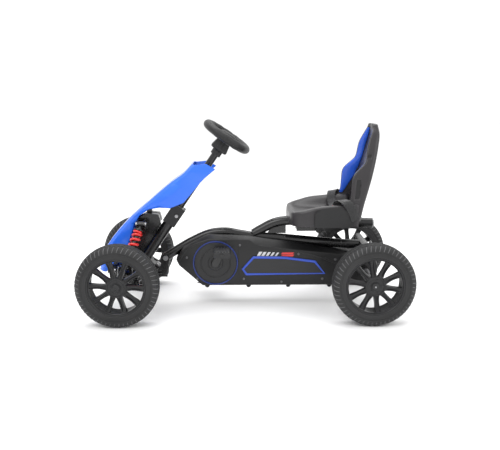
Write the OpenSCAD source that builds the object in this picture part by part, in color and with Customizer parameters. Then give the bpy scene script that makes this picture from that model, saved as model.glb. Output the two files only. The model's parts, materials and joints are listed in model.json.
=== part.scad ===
// Child's pedal go kart: tube chassis, enclosed chain drive, sprung front axle, sliding seat.
// +X is forward, +Y is the left side, +Z is up. The origin is on the ground, midway between
// the axles, on the centre plane. All sizes are in millimetres.

/* [Wheels] */
// Radius over the tread
wheel_r = 120; // [116:1:122]
// Width of each tyre
wheel_w = 66; // [62:1:68]
// Distance between the front and rear axles
wheelbase = 735; // [728:1:742]
// Distance between the outer faces of the tyres
track_outer = 494; // [490:2:510]
// Number of spokes in each wheel
spoke_count = 10; // [5:1:12]

/* [Steering] */
// Height of the middle of the steering wheel
steering_z = 528; // [520:1:535]
// Radius of the steering wheel's rim section
grip_r = 13; // [10:1:14]
// Length of the pitman arm and of each knuckle's arm
steer_arm = 45; // [44:1:46]

/* [Drive] */
// Teeth on the chainring
ring_teeth = 28; // [26:2:28]
// Teeth on the rear sprocket
sprocket_teeth = 14; // [14:1:16]
// Length of each crank arm
crank_len = 50; // [45:1:60]

/* [Suspension] */
// Radius of the middle of the coil spring's wire helix
coil_r = 12; // [12:0.5:13]
// Radius of the spring wire
wire_r = 4; // [3:0.1:4]
// Turns in each coil spring
coil_turns = 5; // [4:1:6]

/* [Seat] */
// Width of the seat shell
seat_w = 236; // [230:2:240]

/* [Hidden] */
$fn = 48;

LEFT = 1;
RIGHT = -1;
CHARCOAL = [0.13, 0.13, 0.14];
BLACK = [0.05, 0.05, 0.06];
BLUE = [0.08, 0.28, 0.85];
RED = [0.8, 0.1, 0.08];
STEEL = [0.7, 0.7, 0.72];

axle_x = wheelbase / 2;
axle_z = wheel_r;
wheel_y = track_outer / 2 - wheel_w / 2;
bead_r = 84;
lip_r = 77;
hub_r = 29;
hub_end = 27;
stub_r = 6;
rear_axle_r = 8;
run_gap = 0.05;
part_gap = 0.3;
bend_bulge = 0.4;

tube_r = 14;
rail_r = 15;
main_path = [[258, 146], [168, 201], [112, 226], [62, 232], [-20, 217]];
front_bolt = [250, 151];
rear_path = [[-20, 217], [-126, 209], [-300, 192], [-372, 188]];
seat_path = [[-26, 224], [-53, 240], [-91, 260], [-133, 266], [-400, 258]];

// Steering column: measured down its axis from the middle of the steering wheel.
column_tilt = 34.5;
steering_x = 55;
column_rod_r = 11;
bearing_start = 262;
bearing_end = 325;
head_end = 455;
head_gusset = [[262, 262], [312, 242], [388, 132], [336, 132]];
pitman_at = 457;
pitman_t = 6;
ball_at = 472;
ball_r = 6;
ball_y = 9.5;
// Rim path: half length and half width of the middle of the grip, and its corner radius.
grip_a = 70;
grip_b = 100;
grip_corner = 58;

// Front suspension, given for the left side.
pivot_y = 35;
pivot_z = 115;
pivot_r = 6;
king_y = 150;
beam_x0 = 337;
beam_x1 = 398;
eye_z = 115;
shock_top = [318, 59.5, 267];
shock_low = [360, 116.5, 151.5];
eye_half = 7;
eye_bolt_r = 4;
shock_dir = shock_low - shock_top;
shock_len = norm(shock_dir);
spring_top = 22;
spring_low = 108;

// Chain drive.
chain_pitch = 12.7;
crank_x = 93;
crank_z = 141;
chain_y = 25;
crank_angle = 116;
ring_r = chain_pitch / 2 / sin(180 / ring_teeth);
sprocket_r = chain_pitch / 2 / sin(180 / sprocket_teeth);
case_half = 45;
case_step = 30;
case_wall = 3;
cover_r = 66;
case_low = [
    [216, 152], [189, 187], [162, 205], [114, 218], [46, 217], [-14, 214], [-31, 201],
    [-163, 183], [-262, 176], [-330, 166]
];
case_high = [
    [216, 152], [191, 190], [116, 228], [47, 226], [-15, 222], [-124, 207], [-282, 178],
    [-330, 168]
];
case_tail = [
    for (a = [110:14:250]) [-axle_x + 50 * cos(a), axle_z + 50 * sin(a)]
];
case_base = [[-300, 66], [135, 66], [209, 133]];

// Seat, given for the left side.
seat_half = seat_w / 2;
back_t = 12;
wing_edge = 9;
wing_root = 17;
lining_t = 3;
lining_gap = 1;
// From the pan up: height, front edge of the wings, half width, rear face.
back_levels = [
    [282, -303, 116, -343], [340, -309, 114, -356], [357, -313, 112, -361], [408, -316, 107, -375],
    [420, -320, 105, -378], [463, -357, 92, -389], [503, -363, 80, -397], [542, -378, 60, -403],
    [554, -383, 50, -402], [567, -386, 40, -400]
];
// How far the blue lining runs back from the wing's edge, at levels 1 to 8.
lining_depth = [12, 18, 42, 43, 19, 21, 12, 6];

// ---------- general helpers ----------

module rod(p, q, r) {
    d = q - p;
    flat = norm([d[0], d[1]]);
    translate(p)
        rotate([0, atan2(flat, d[2]), atan2(d[1], d[0])])
            cylinder(r = r, h = norm(d));
}

module y_rod(x, z, y0, y1, r) {
    translate([x, y0, z])
        rotate([-90, 0, 0])
            cylinder(r = r, h = y1 - y0);
}

module x_rod(y, z, x0, x1, r) {
    translate([x0, y, z])
        rotate([0, 90, 0])
            cylinder(r = r, h = x1 - x0);
}

module block(x0, x1, y0, y1, z0, z1) {
    translate([x0, y0, z0])
        cube([x1 - x0, y1 - y0, z1 - z0]);
}

// A side outline of [x, z] points, thickened from y0 to y1.
module side_plate(points, y0, y1) {
    translate([0, y1, 0])
        rotate([90, 0, 0])
            linear_extrude(y1 - y0)
                polygon(points);
}

// A front outline of [y, z] points, thickened from x0 to x1.
module cross_plate(points, x0, x1) {
    translate([x0, 0, 0])
        rotate([90, 0, 90])
            linear_extrude(x1 - x0)
                polygon(points);
}

module bent_tube(path, r) {
    for (i = [0:len(path) - 2])
        rod([path[i][0], 0, path[i][1]], [path[i + 1][0], 0, path[i + 1][1]], r);
    for (i = [1:len(path) - 2])
        translate([path[i][0], 0, path[i][1]])
            sphere(r + bend_bulge);
}

module on_side(side) {
    if (side == RIGHT)
        mirror([0, 1, 0])
            children();
    else
        children();
}

// Children are drawn along the column's axis: +Z of the child points down the column.
module on_column() {
    translate([steering_x, 0, steering_z])
        rotate([0, 180 - column_tilt, 0])
            children();
}

// Children are drawn along the left shock's axis, from its top eye downwards.
module on_shock() {
    translate(shock_top)
        rotate([0, acos(shock_dir[2] / shock_len), atan2(shock_dir[1], shock_dir[0])])
            children();
}

// ---------- wheels ----------

module at_wheel(x, side) {
    on_side(side)
        translate([x, wheel_y, axle_z])
            rotate([-90, 0, 0])
                children();
}

module tyre() {
    half = wheel_w / 2;
    color(CHARCOAL)
        rotate_extrude($fn = 96)
            polygon([
                [bead_r, -half + 2], [bead_r + 3, -half], [wheel_r - 20, -half],
                [wheel_r - 8, -half + 2], [wheel_r - 1.5, -half + 8], [wheel_r, -half + 16],
                [wheel_r, half - 16], [wheel_r - 1.5, half - 8], [wheel_r - 8, half - 2],
                [wheel_r - 20, half], [bead_r + 3, half], [bead_r, half - 2]
            ]);
}

module rim(bore_r) {
    half = wheel_w / 2;
    color(CHARCOAL)
        difference() {
            union() {
                rotate_extrude($fn = 96)
                    polygon([
                        [lip_r + 3, -half + 2], [bead_r, -half + 2], [bead_r, half - 2],
                        [lip_r, half - 2], [lip_r, half - 10], [lip_r + 3, half - 16]
                    ]);
                for (i = [0:spoke_count - 1])
                    rotate([0, 0, i * 360 / spoke_count])
                        translate([0, 0, hub_end - 14])
                            linear_extrude(12)
                                polygon([[hub_r - 4, -8], [lip_r + 2, -5], [lip_r + 2, 5], [hub_r - 4, 8]]);
                translate([0, 0, hub_end - 18])
                    cylinder(r = hub_r, h = 18);
                translate([0, 0, -half + 4])
                    cylinder(r = 16, h = half + 8);
            }
            translate([0, 0, -wheel_w])
                cylinder(r = bore_r, h = 2 * wheel_w);
            for (i = [0:4])
                rotate([0, 0, i * 72 + 18])
                    translate([19, 0, hub_end - 4])
                        cylinder(r = 3, h = 8);
        }
}

module hub_cap() {
    color(BLACK)
        translate([0, 0, hub_end])
            difference() {
                cylinder(r1 = 12, r2 = 10, h = 6);
                translate([0, 0, -1])
                    cylinder(r = 8.8, h = 5);
            }
}

module front_tyre(side) {
    at_wheel(axle_x, side)
        tyre();
}

module front_rim(side) {
    at_wheel(axle_x, side)
        rotate([0, 0, side * 3])
            rim(stub_r + run_gap);
}

module front_cap(side) {
    at_wheel(axle_x, side)
        hub_cap();
}

module rear_tyre(side) {
    at_wheel(-axle_x, side)
        tyre();
}

module rear_rim(side) {
    at_wheel(-axle_x, side)
        rotate([0, 0, side * 10])
            rim(side == LEFT ? rear_axle_r : rear_axle_r + run_gap);
}

module rear_cap(side) {
    at_wheel(-axle_x, side)
        hub_cap();
}

// ---------- chassis ----------

module main_tube() {
    color(BLACK)
        difference() {
            bent_tube(main_path, tube_r);
            y_rod(front_bolt[0], front_bolt[1], -20, 20, 5);
        }
}

// Lower rear tube with the cross tube and the two plates that hang the rear axle.
module rear_frame() {
    carrier_y = 72;
    cross_r = 13;
    color(BLACK)
        difference() {
            union() {
                bent_tube(rear_path, tube_r);
                y_rod(-372, 194, -carrier_y - 8, carrier_y + 8, cross_r);
                for (side = [LEFT, RIGHT])
                    side_plate(
                        [[-388, 196], [-385, 105], [-350, 105], [-356, 196]],
                        side * carrier_y - 3, side * carrier_y + 3
                    );
                for (side = [LEFT, RIGHT])
                    y_rod(-axle_x, axle_z, side * carrier_y - 9, side * carrier_y + 9, 18);
            }
            y_rod(-axle_x, axle_z, -carrier_y - 10, carrier_y + 10, 12);
        }
}

// Upper tube that carries the seat, with its brace plate welded on behind the fork.
module seat_rail() {
    color(BLACK)
        difference() {
            union() {
                bent_tube(seat_path, rail_r);
                side_plate([[-128, 252], [-128, 219], [-70, 219], [-84, 252]], -4, 4);
            }
            x_rod(0, 258, -401, -387, rail_r - 3);
            x_rod(0, 258, -404, -400, rail_r + 3);
        }
}

module rail_end_cap() {
    color(STEEL)
        union() {
            x_rod(0, 258, -403.5, -400, rail_r);
            x_rod(0, 258, -400, -390, rail_r - 3);
        }
}

// Cross beam with the suspension pivots, the nose stay, and the two bars that tie it to the
// main tube.
module front_axle_beam() {
    color(BLACK)
        difference() {
            union() {
                block(beam_x0, beam_x1, -22, 22, 98, 132);
                for (x = [beam_x0 - 6, beam_x1])
                    cross_plate(
                        [[-47, 100], [-22, 90], [22, 90], [47, 100], [47, 126], [22, 132], [-22, 132], [-47, 126]],
                        x, x + 6
                    );
                block(beam_x1 + 5, 436, -8, 8, 100, 124);
                for (side = [LEFT, RIGHT])
                    side_plate(
                        [[236, 168], [266, 158], [262, 99], [beam_x0, 99], [beam_x0, 90], [246, 90]],
                        side * 17 - 2.5, side * 17 + 2.5
                    );
            }
            for (side = [LEFT, RIGHT])
                x_rod(side * pivot_y, pivot_z, beam_x0 - 10, beam_x1 + 10, pivot_r);
            y_rod(front_bolt[0], front_bolt[1], -30, 30, 5);
        }
}

// Head tube round the steering column, with the plate that welds it to the beam.
module steering_head() {
    color(BLACK)
        difference() {
            union() {
                on_column()
                    translate([0, 0, bearing_end])
                        cylinder(r = 17, h = head_end - bearing_end);
                side_plate(head_gusset, -5, 5);
            }
            on_column()
                translate([0, 0, bearing_end - 60])
                    cylinder(r = 14, h = 200);
            on_column()
                translate([0, 0, head_end])
                    cylinder(r = 22, h = 60);
        }
}

module column_bearing_block() {
    color(BLACK)
        difference() {
            on_column()
                translate([-21, -22, bearing_start])
                    cube([42, 44, bearing_end - bearing_start]);
            on_column()
                translate([0, 0, bearing_start - 5])
                    cylinder(r = 14, h = 80);
            side_plate(head_gusset, -5.2, 5.2);
        }
}

// Plain bushes for the column, the rear axle and the crank.
module frame_bushes() {
    color([0.85, 0.85, 0.8]) {
        for (t = [bearing_start, head_end - 18])
            on_column()
                translate([0, 0, t])
                    difference() {
                        cylinder(r = 14, h = 18);
                        translate([0, 0, -1])
                            cylinder(r = column_rod_r + run_gap, h = 20);
                    }
        for (side = [LEFT, RIGHT])
            difference() {
                y_rod(-axle_x, axle_z, side * 72 - 9, side * 72 + 9, 12);
                y_rod(-axle_x, axle_z, side * 72 - 10, side * 72 + 10, rear_axle_r + run_gap);
            }
        for (y = [-36, 2])
            difference() {
                y_rod(crank_x, crank_z, y, y + 12, 12);
                y_rod(crank_x, crank_z, y - 1, y + 13, 8 + run_gap);
            }
    }
}

// Welded bracket ahead of the head tube: two cross plates that hold the shocks' top eyes,
// and the stay that carries the middle of the nose fairing.
module shock_tower() {
    ear = [
        [-48, 248], [-58, 258], [-66, 262], [-70, 268], [-67, 275], [-54, 279], [54, 279], [67, 275],
        [70, 268], [66, 262], [58, 258], [48, 248], [20, 236], [-20, 236]
    ];
    cheek = [[262, 268], [268, 291], [303, 296], [333, 279], [333, 240], [300, 236], [293, 229]];
    color(BLACK)
        difference() {
            union() {
                cross_plate(ear, shock_top[0] - eye_half - 5, shock_top[0] - eye_half - 0.5);
                cross_plate(ear, shock_top[0] + eye_half + 1.3, shock_top[0] + eye_half + 5);
                side_plate(cheek, 5.2, 28);
                side_plate(cheek, -28, -5.2);
                block(290, 306, -8, 8, 284, 320);
            }
            for (side = [LEFT, RIGHT])
                x_rod(side * shock_top[1], shock_top[2], 290, 350, eye_bolt_r);
            on_column()
                cylinder(r = 17.2, h = 500);
            on_column()
                translate([-22, -23, bearing_start])
                    cube([44, 46, bearing_end - bearing_start]);
            side_plate(head_gusset, -5.2, 5.2);
        }
}

module bolt_x(y, z, x0, x1, r, head_r) {
    x_rod(y, z, x0, x1, r);
    x_rod(y, z, x0 - 4, x0, head_r);
    x_rod(y, z, x1, x1 + 4, head_r);
}

module frame_bolts() {
    color(STEEL) {
        y_rod(front_bolt[0], front_bolt[1], -24.5, 24.5, 5);
        y_rod(front_bolt[0], front_bolt[1], 19.5, 24.5, 8);
        y_rod(front_bolt[0], front_bolt[1], -24.5, -19.5, 8);
        for (side = [LEFT, RIGHT]) {
            bolt_x(side * pivot_y, pivot_z, beam_x0 - 6, beam_x1 + 6, pivot_r, 10);
            bolt_x(side * shock_top[1], shock_top[2], shock_top[0] - 12, shock_top[0] + 12, eye_bolt_r, 7);
            on_side(side)
                y_rod(213, 285, 22, 27, 5);
        }
    }
}

// Open nose channel: one crowned top strip and two side walls with arches over the shocks.
module nose_fairing() {
    wall_y = 50;
    t = 4;
    top = [
        [163, 448], [188, 420], [224, 395], [298, 332], [342, 296], [404, 230], [428, 196],
        [448, 150], [454, 116]
    ];
    under = [
        [450, 114], [443, 149], [424, 194], [400, 227], [339, 292], [295, 328], [221, 391],
        [184, 417], [159, 446]
    ];
    wall = [
        [117, 451], [160, 449], [188, 420], [224, 395], [298, 332], [342, 296], [404, 230], [428, 196],
        [448, 150], [454, 116], [432, 114], [395, 160], [362, 197], [351, 232], [334, 281],
        [306, 307], [275, 319], [251, 313], [230, 313], [187, 331], [130, 400], [91, 433]
    ];
    color(BLUE)
        union() {
            side_plate(concat(top, under), -wall_y, wall_y);
            side_plate(wall, wall_y - t, wall_y);
            side_plate(wall, -wall_y, -wall_y + t);
        }
}

// ---------- chain case ----------

module case_outline(upper, inset) {
    offset(delta = -inset)
        polygon(concat(upper, case_tail, case_base));
}

module case_body(inset, end_inset) {
    translate([0, case_half - end_inset, 0])
        rotate([90, 0, 0])
            linear_extrude(case_half - end_inset)
                case_outline(case_low, inset);
    translate([0, case_step - end_inset, 0])
        rotate([90, 0, 0])
            linear_extrude(case_step - end_inset)
                case_outline(case_high, inset);
}

module chain_case(side) {
    color(BLACK)
        on_side(side)
            difference() {
                case_body(0, 0);
                translate([0, -0.01, 0])
                    case_body(case_wall, case_wall);
                bent_tube(main_path, tube_r + part_gap);
                bent_tube(rear_path, tube_r + part_gap);
                bent_tube(seat_path, rail_r + part_gap);
                y_rod(-372, 194, -90, 90, 13.4);
                y_rod(crank_x, crank_z, case_step, case_half + 5, 22);
                y_rod(-axle_x, axle_z, -5, case_half + 5, 12);
                side_plate([[236, 168], [200, 168], [200, 80], [250, 80]], -1, 21);
            }
}

module crank_covers() {
    color(CHARCOAL)
        for (side = [LEFT, RIGHT])
            on_side(side)
                difference() {
                    y_rod(crank_x, crank_z, case_half, case_half + 3, cover_r);
                    y_rod(crank_x, crank_z, case_half - 1, case_half + 5, 12);
                    for (x = [crank_x - 24, crank_x + 24])
                        block(x - 11, x + 11, case_half + 1, case_half + 5, crank_z - 12, crank_z + 2);
                }
}

module crank_rings() {
    color(BLUE)
        for (side = [LEFT, RIGHT])
            on_side(side)
                difference() {
                    y_rod(crank_x, crank_z, case_half, case_half + 5, cover_r + 4);
                    y_rod(crank_x, crank_z, case_half - 1, case_half + 6, cover_r);
                }
}

module side_trims() {
    outer = [[4, 121], [-5, 108], [-243, 108], [-214, 141], [-123, 153], [-27, 155]];
    inner = [[-8, 119], [-11, 116], [-222, 116], [-208, 133], [-122, 145], [-31, 147]];
    color(BLUE)
        for (side = [LEFT, RIGHT])
            on_side(side)
                difference() {
                    side_plate(outer, case_half, case_half + 5);
                    side_plate(inner, case_half + 1.5, case_half + 6);
                }
}

module case_screws() {
    screw_spots = [[17, 197], [5, 89], [-113, 75], [-241, 88], [-165, 168], [150, 90], [185, 155], [-280, 150]];
    color(STEEL)
        for (side = [LEFT, RIGHT])
            for (spot = screw_spots)
                on_side(side)
                    y_rod(spot[0], spot[1], case_half, case_half + 1.5, 4);
}

module chain_loop(grow) {
    hull() {
        translate([crank_x, crank_z])
            circle(r = ring_r + grow, $fn = 96);
        translate([-axle_x, axle_z])
            circle(r = sprocket_r + grow, $fn = 48);
    }
}

// Side plates as two bands, with rollers along the straight runs.
module drive_chain() {
    span = norm([crank_x + axle_x, crank_z - axle_z]);
    lean = atan2(crank_z - axle_z, crank_x + axle_x);
    splay = asin((ring_r - sprocket_r) / span);
    run = span * cos(splay);
    color(STEEL) {
        for (y = [chain_y - 4.5, chain_y + 2.5])
            translate([0, y + 2, 0])
                rotate([90, 0, 0])
                    linear_extrude(2)
                        difference() {
                            chain_loop(4);
                            chain_loop(-4);
                        }
        for (turn = [1, -1])
            for (i = [2:floor(run / chain_pitch) - 2]) {
                normal = lean + turn * (90 + splay);
                along = lean + turn * splay;
                x = -axle_x + sprocket_r * cos(normal) + i * chain_pitch * cos(along);
                z = axle_z + sprocket_r * sin(normal) + i * chain_pitch * sin(along);
                y_rod(x, z, chain_y - 2.5, chain_y + 2.5, 3.5, $fn = 16);
            }
    }
}

module bottom_bracket() {
    color(BLACK)
        difference() {
            union() {
                y_rod(crank_x, crank_z, -36, 14, 16);
                side_plate(
                    [[crank_x - 14, crank_z], [crank_x + 14, crank_z], [crank_x + 20, 218], [crank_x - 20, 222]],
                    -24, 4
                );
            }
            y_rod(crank_x, crank_z, -40, 20, 12);
            bent_tube(main_path, tube_r);
        }
}

// ---------- steering ----------

module steering_column() {
    color(BLACK)
        on_column()
            difference() {
                union() {
                    translate([0, 0, 20])
                        cylinder(r = column_rod_r, h = pitman_at + pitman_t - 20);
                    translate([0, 0, pitman_at])
                        linear_extrude(pitman_t)
                            polygon([[-9, -14], [9, -14], [steer_arm + 8, -23], [steer_arm + 8, 23], [9, 14], [-9, 14]]);
                }
                for (side = [LEFT, RIGHT])
                    translate([steer_arm, side * ball_y, pitman_at - 1])
                        cylinder(r = 4 + run_gap, h = 10);
            }
}

module grip_corner_at(sx, sy) {
    translate([sx * (grip_a - grip_corner), sy * (grip_b - grip_corner), 0])
        rotate([0, 0, sx > 0 ? (sy > 0 ? 0 : 270) : (sy > 0 ? 90 : 180)])
            rotate_extrude(angle = 90)
                translate([grip_corner, 0])
                    circle(r = grip_r);
}

module steering_wheel() {
    straight_x = grip_a - grip_corner;
    straight_y = grip_b - grip_corner;
    color(BLACK)
        on_column()
            difference() {
                union() {
                    for (sx = [1, -1])
                        for (sy = [1, -1])
                            grip_corner_at(sx, sy);
                    for (s = [1, -1])
                        rod([-straight_x, s * grip_b, 0], [straight_x, s * grip_b, 0], grip_r);
                    for (s = [1, -1])
                        rod([s * grip_a, -straight_y, 0], [s * grip_a, straight_y, 0], grip_r);
                    translate([-14, -grip_b, -4])
                        cube([28, 2 * grip_b, 12]);
                    translate([0, -12, -4])
                        cube([grip_a, 24, 12]);
                    translate([-34, -40, -6])
                        cube([68, 80, 18]);
                }
                translate([0, 0, 12])
                    cylinder(r = column_rod_r, h = 30);
            }
}

// Square socket under the wheel that clamps it to the column.
module steering_hub() {
    color(CHARCOAL)
        on_column()
            difference() {
                union() {
                    translate([-24, -26, 12])
                        cube([48, 52, 30]);
                    translate([0, 0, 42])
                        cylinder(r = 19, h = 24);
                }
                cylinder(r = column_rod_r, h = 100);
                translate([0, 50, 54])
                    rotate([90, 0, 0])
                        cylinder(r = 3, h = 40);
            }
}

module horn_pad() {
    color(CHARCOAL)
        on_column()
            translate([0, 0, -12])
                cylinder(r = 27, h = 6);
}

module ball_stud(side) {
    color(STEEL)
        on_side(side)
            on_column()
                translate([steer_arm, ball_y, 0]) {
                    translate([0, 0, pitman_at - 4])
                        cylinder(r = 7, h = 3.7);
                    translate([0, 0, pitman_at - 1])
                        cylinder(r = 4, h = ball_at - pitman_at + 1);
                    translate([0, 0, ball_at])
                        sphere(ball_r);
                }
}

function column_point(across, down) = [
    steering_x + down * sin(column_tilt) - across * cos(column_tilt),
    0,
    steering_z - down * cos(column_tilt) - across * sin(column_tilt)
];

module tie_rod(side) {
    inner = column_point(steer_arm, ball_at) + [0, ball_y, 0];
    outer = [axle_x - steer_arm, king_y + ball_y, eye_z];
    reach = outer - inner;
    pull = reach / norm(reach);
    color(BLACK)
        on_side(side)
            difference() {
                union() {
                    rod(inner + 7 * pull, outer - 8 * pull, 5);
                    translate(inner)
                        sphere(8.5);
                    translate(outer - [0, 0, 4])
                        cylinder(r = 9.5, h = 8);
                }
                translate(inner)
                    sphere(ball_r + run_gap);
                translate(inner)
                    rotate([0, -column_tilt, 0])
                        cylinder(r1 = 4.5, r2 = 7.2, h = 14);
                translate(outer - [0, 0, 10])
                    cylinder(r = 5.8, h = 20);
            }
}

// ---------- front suspension ----------

module suspension_arm(side) {
    color(BLACK)
        on_side(side)
            difference() {
                union() {
                    x_rod(pivot_y, pivot_z, beam_x0 + part_gap, beam_x1 - part_gap, 11);
                    block(356, 379, pivot_y + 6, 136, 110, 131);
                    block(340, 379, 104, 130, 128, 134);
                    for (x = [340, 368.5])
                        block(x, x + 4, 106, 127, 134, 161);
                    block(359, 376, 131, 136, 86, 154);
                    for (z = [86, 146])
                        hull() {
                            translate([axle_x, king_y, z])
                                cylinder(r = 11, h = 8, $fn = 32);
                            block(359, 376, 131, 136, z, z + 8);
                        }
                    translate([axle_x, king_y, 82])
                        cylinder(r = 6, h = 76);
                    translate([axle_x, king_y, 154])
                        cylinder(r = 9, h = 6, $fn = 6);
                    x_rod(shock_low[1], shock_low[2], 336, 376, eye_bolt_r);
                }
                x_rod(pivot_y, pivot_z, beam_x0 - 5, beam_x1 + 5, pivot_r + run_gap);
            }
}

module knuckle(side) {
    color(STEEL)
        on_side(side)
            difference() {
                union() {
                    translate([axle_x, king_y, 94 + part_gap])
                        cylinder(r = 12, h = 52 - 2 * part_gap);
                    y_rod(axle_x, axle_z, king_y + 10, wheel_y + hub_end + 3.5, stub_r);
                    y_rod(axle_x, axle_z, king_y + 10, wheel_y - wheel_w / 2 + 3.7, 10);
                    block(axle_x - steer_arm - 8, axle_x - 8, king_y - 7, king_y + ball_y + 7, 99, 105);
                    translate([axle_x - steer_arm, king_y + ball_y, 100])
                        cylinder(r = 4, h = 28);
                    translate([axle_x - steer_arm, king_y + ball_y, 126])
                        cylinder(r = 7, h = 4);
                }
                translate([axle_x, king_y, 80])
                    cylinder(r = 6 + run_gap, h = 90);
            }
}

module shock_body(side) {
    color(BLACK)
        on_side(side)
            difference() {
                union() {
                    x_rod(shock_top[1], shock_top[2], shock_top[0] - eye_half, shock_top[0] + eye_half, 9.5);
                    on_shock()
                        translate([0, 0, 6])
                            cylinder(r = 5, h = 14);
                    on_shock()
                        translate([0, 0, spring_top - 3])
                            cylinder(r = 7.3, h = 81 - spring_top);
                    on_shock()
                        translate([0, 0, spring_top - 4])
                            cylinder(r = 16, h = 4 - part_gap);
                }
                x_rod(shock_top[1], shock_top[2], 300, 340, eye_bolt_r + run_gap);
                on_shock()
                    translate([0, 0, 42])
                        cylinder(r = 4 + run_gap, h = 60);
            }
}

module shock_rod(side) {
    color(STEEL)
        on_side(side)
            difference() {
                union() {
                    on_shock()
                        translate([0, 0, 60])
                            cylinder(r = 4, h = shock_len - 66);
                    on_shock()
                        translate([0, 0, spring_low + part_gap])
                            cylinder(r = 16, h = 4);
                    on_shock()
                        translate([0, 0, spring_low + 4])
                            cylinder(r = 6.5, h = 12);
                    x_rod(shock_low[1], shock_low[2], shock_low[0] - eye_half, shock_low[0] + eye_half, 9);
                }
                x_rod(shock_low[1], shock_low[2], 340, 380, eye_bolt_r + 0.6);
            }
}

// Round wire swept along a helix.
module coil_spring(side) {
    sides = 8;
    rings = coil_turns * 14;
    bottom = spring_top + wire_r;
    rise = spring_low - spring_top - 2 * wire_r;
    points = [
        for (i = [0:rings])
            for (j = [0:sides - 1])
                let (
                    a = 360 * coil_turns * i / rings,
                    b = 360 * j / sides,
                    r = coil_r + wire_r * cos(b)
                )
                [r * cos(a), r * sin(a), bottom + rise * i / rings + wire_r * sin(b)]
    ];
    walls = [
        for (i = [0:rings - 1])
            for (j = [0:sides - 1])
                let (k = (j + 1) % sides)
                [i * sides + j, (i + 1) * sides + j, (i + 1) * sides + k, i * sides + k]
    ];
    ends = [
        [for (j = [0:sides - 1]) j],
        [for (j = [0:sides - 1]) rings * sides + sides - 1 - j]
    ];
    color(RED)
        on_side(side)
            on_shock()
                polyhedron(points, concat(walls, ends), convexity = 10);
}

// ---------- drive ----------

module toothed_disc(teeth, pitch_r, thickness) {
    root = pitch_r - 5;
    tip = pitch_r + 2.5;
    linear_extrude(thickness)
        polygon([
            for (i = [0:teeth - 1])
                for (p = [[0.0, root], [0.22, root], [0.4, tip], [0.6, tip], [0.78, root]])
                    [p[1] * cos((i + p[0]) * 360 / teeth), p[1] * sin((i + p[0]) * 360 / teeth)]
        ]);
}

module rear_axle() {
    end_y = wheel_y + hub_end + 3.5;
    color(STEEL)
        union() {
            y_rod(-axle_x, axle_z, -end_y, end_y, rear_axle_r);
            translate([-axle_x, chain_y + 1.5, axle_z])
                rotate([90, 0, 0])
                    toothed_disc(sprocket_teeth, sprocket_r, 3);
            y_rod(-axle_x, axle_z, chain_y - 12, chain_y - 1.5, 14);
            for (side = [LEFT, RIGHT])
                y_rod(-axle_x, axle_z, side == LEFT ? 82 : -94, side == LEFT ? 94 : -82, 13);
        }
}

function crank_end(side) = [
    crank_x + side * crank_len * cos(crank_angle),
    crank_z + side * crank_len * sin(crank_angle)
];

module crankset() {
    color(STEEL)
        union() {
            y_rod(crank_x, crank_z, -60, 60, 8);
            translate([crank_x, chain_y + 1.5, crank_z])
                rotate([90, 0, 0])
                    toothed_disc(ring_teeth, ring_r, 3);
            y_rod(crank_x, crank_z, 17, chain_y - 1.5, 14);
            for (side = [LEFT, RIGHT]) {
                hull() {
                    y_rod(crank_x, crank_z, side == LEFT ? 52 : -60, side == LEFT ? 60 : -52, 11, $fn = 32);
                    y_rod(crank_end(side)[0], crank_end(side)[1], side == LEFT ? 52 : -60, side == LEFT ? 60 : -52, 9, $fn = 32);
                }
                y_rod(
                    crank_end(side)[0], crank_end(side)[1],
                    side == LEFT ? 59 : -136, side == LEFT ? 136 : -59, 5
                );
            }
        }
}

module pedal(side) {
    half_len = 25;
    half_thick = 12;
    color(CHARCOAL)
        difference() {
            translate([crank_end(side)[0], side * 99, crank_end(side)[1]])
                union() {
                    block(-half_len + 6, half_len - 6, -35, 35, -half_thick, half_thick);
                    for (s = [1, -1])
                        translate([s * (half_len - 6), 35, 0])
                            rotate([90, 0, 0])
                                cylinder(r = half_thick - 3, h = 70);
                }
            y_rod(crank_end(side)[0], crank_end(side)[1], -150, 150, 5 + run_gap);
        }
}

// ---------- seat ----------

// Closed solid through level rings that hold the same number of points; caps are the convex
// faces that close each end.
module skin(rings, caps) {
    size = len(rings[0]);
    last = (len(rings) - 1) * size;
    walls = [
        for (a = [0:size:last - size])
            for (j = [0:size - 1])
                let (k = (j + 1) % size)
                each [[a + j, a + size + j, a + size + k], [a + j, a + size + k, a + k]]
    ];
    lids = [for (cap = caps) [for (i = [len(cap) - 1:-1:0]) last + cap[i]]];
    polyhedron([for (ring = rings) each ring], concat(walls, caps, lids), convexity = 10);
}

function back_ring(v) = [
    [v[1], v[2], v[0]], [v[3] + 8, v[2], v[0]], [v[3], v[2] - 10, v[0]],
    [v[3], 10 - v[2], v[0]], [v[3] + 8, -v[2], v[0]], [v[1], -v[2], v[0]],
    [v[1], wing_edge - v[2], v[0]], [v[3] + back_t, wing_root - v[2], v[0]],
    [v[3] + back_t, v[2] - wing_root, v[0]], [v[1], v[2] - wing_edge, v[0]]
];

// Inner face of the left wing, a distance behind its front edge.
function wing_face(v, behind) =
    v[2] - wing_edge - (wing_root - wing_edge) * behind / (v[1] - v[3] - back_t);

function lining_point(v, behind, off) = [v[1] - behind, wing_face(v, behind) - off, v[0]];

function lining_ring(v, depth) = [
    lining_point(v, 1.5, lining_gap), lining_point(v, depth, lining_gap),
    lining_point(v, depth, lining_gap + lining_t), lining_point(v, 1.5, lining_gap + lining_t)
];

// Seen from above: the pan's outline, or the hollow's under it.
module pan_plan(inset) {
    corner = [[-200, 118], [-170, 114], [-150, 103], [-138, 86], [-133, 62]];
    half = concat(
        [[-336 + inset, seat_half - inset]],
        [for (p = corner) [p[0] - inset * (p[0] + 200) / 67, p[1] - inset * (p[0] < -134 ? 1 : 0.3)]]
    );
    translate([0, 0, 250])
        linear_extrude(100)
            polygon(concat(half, [for (i = [len(half) - 1:-1:0]) [half[i][0], -half[i][1]]]));
}

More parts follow.
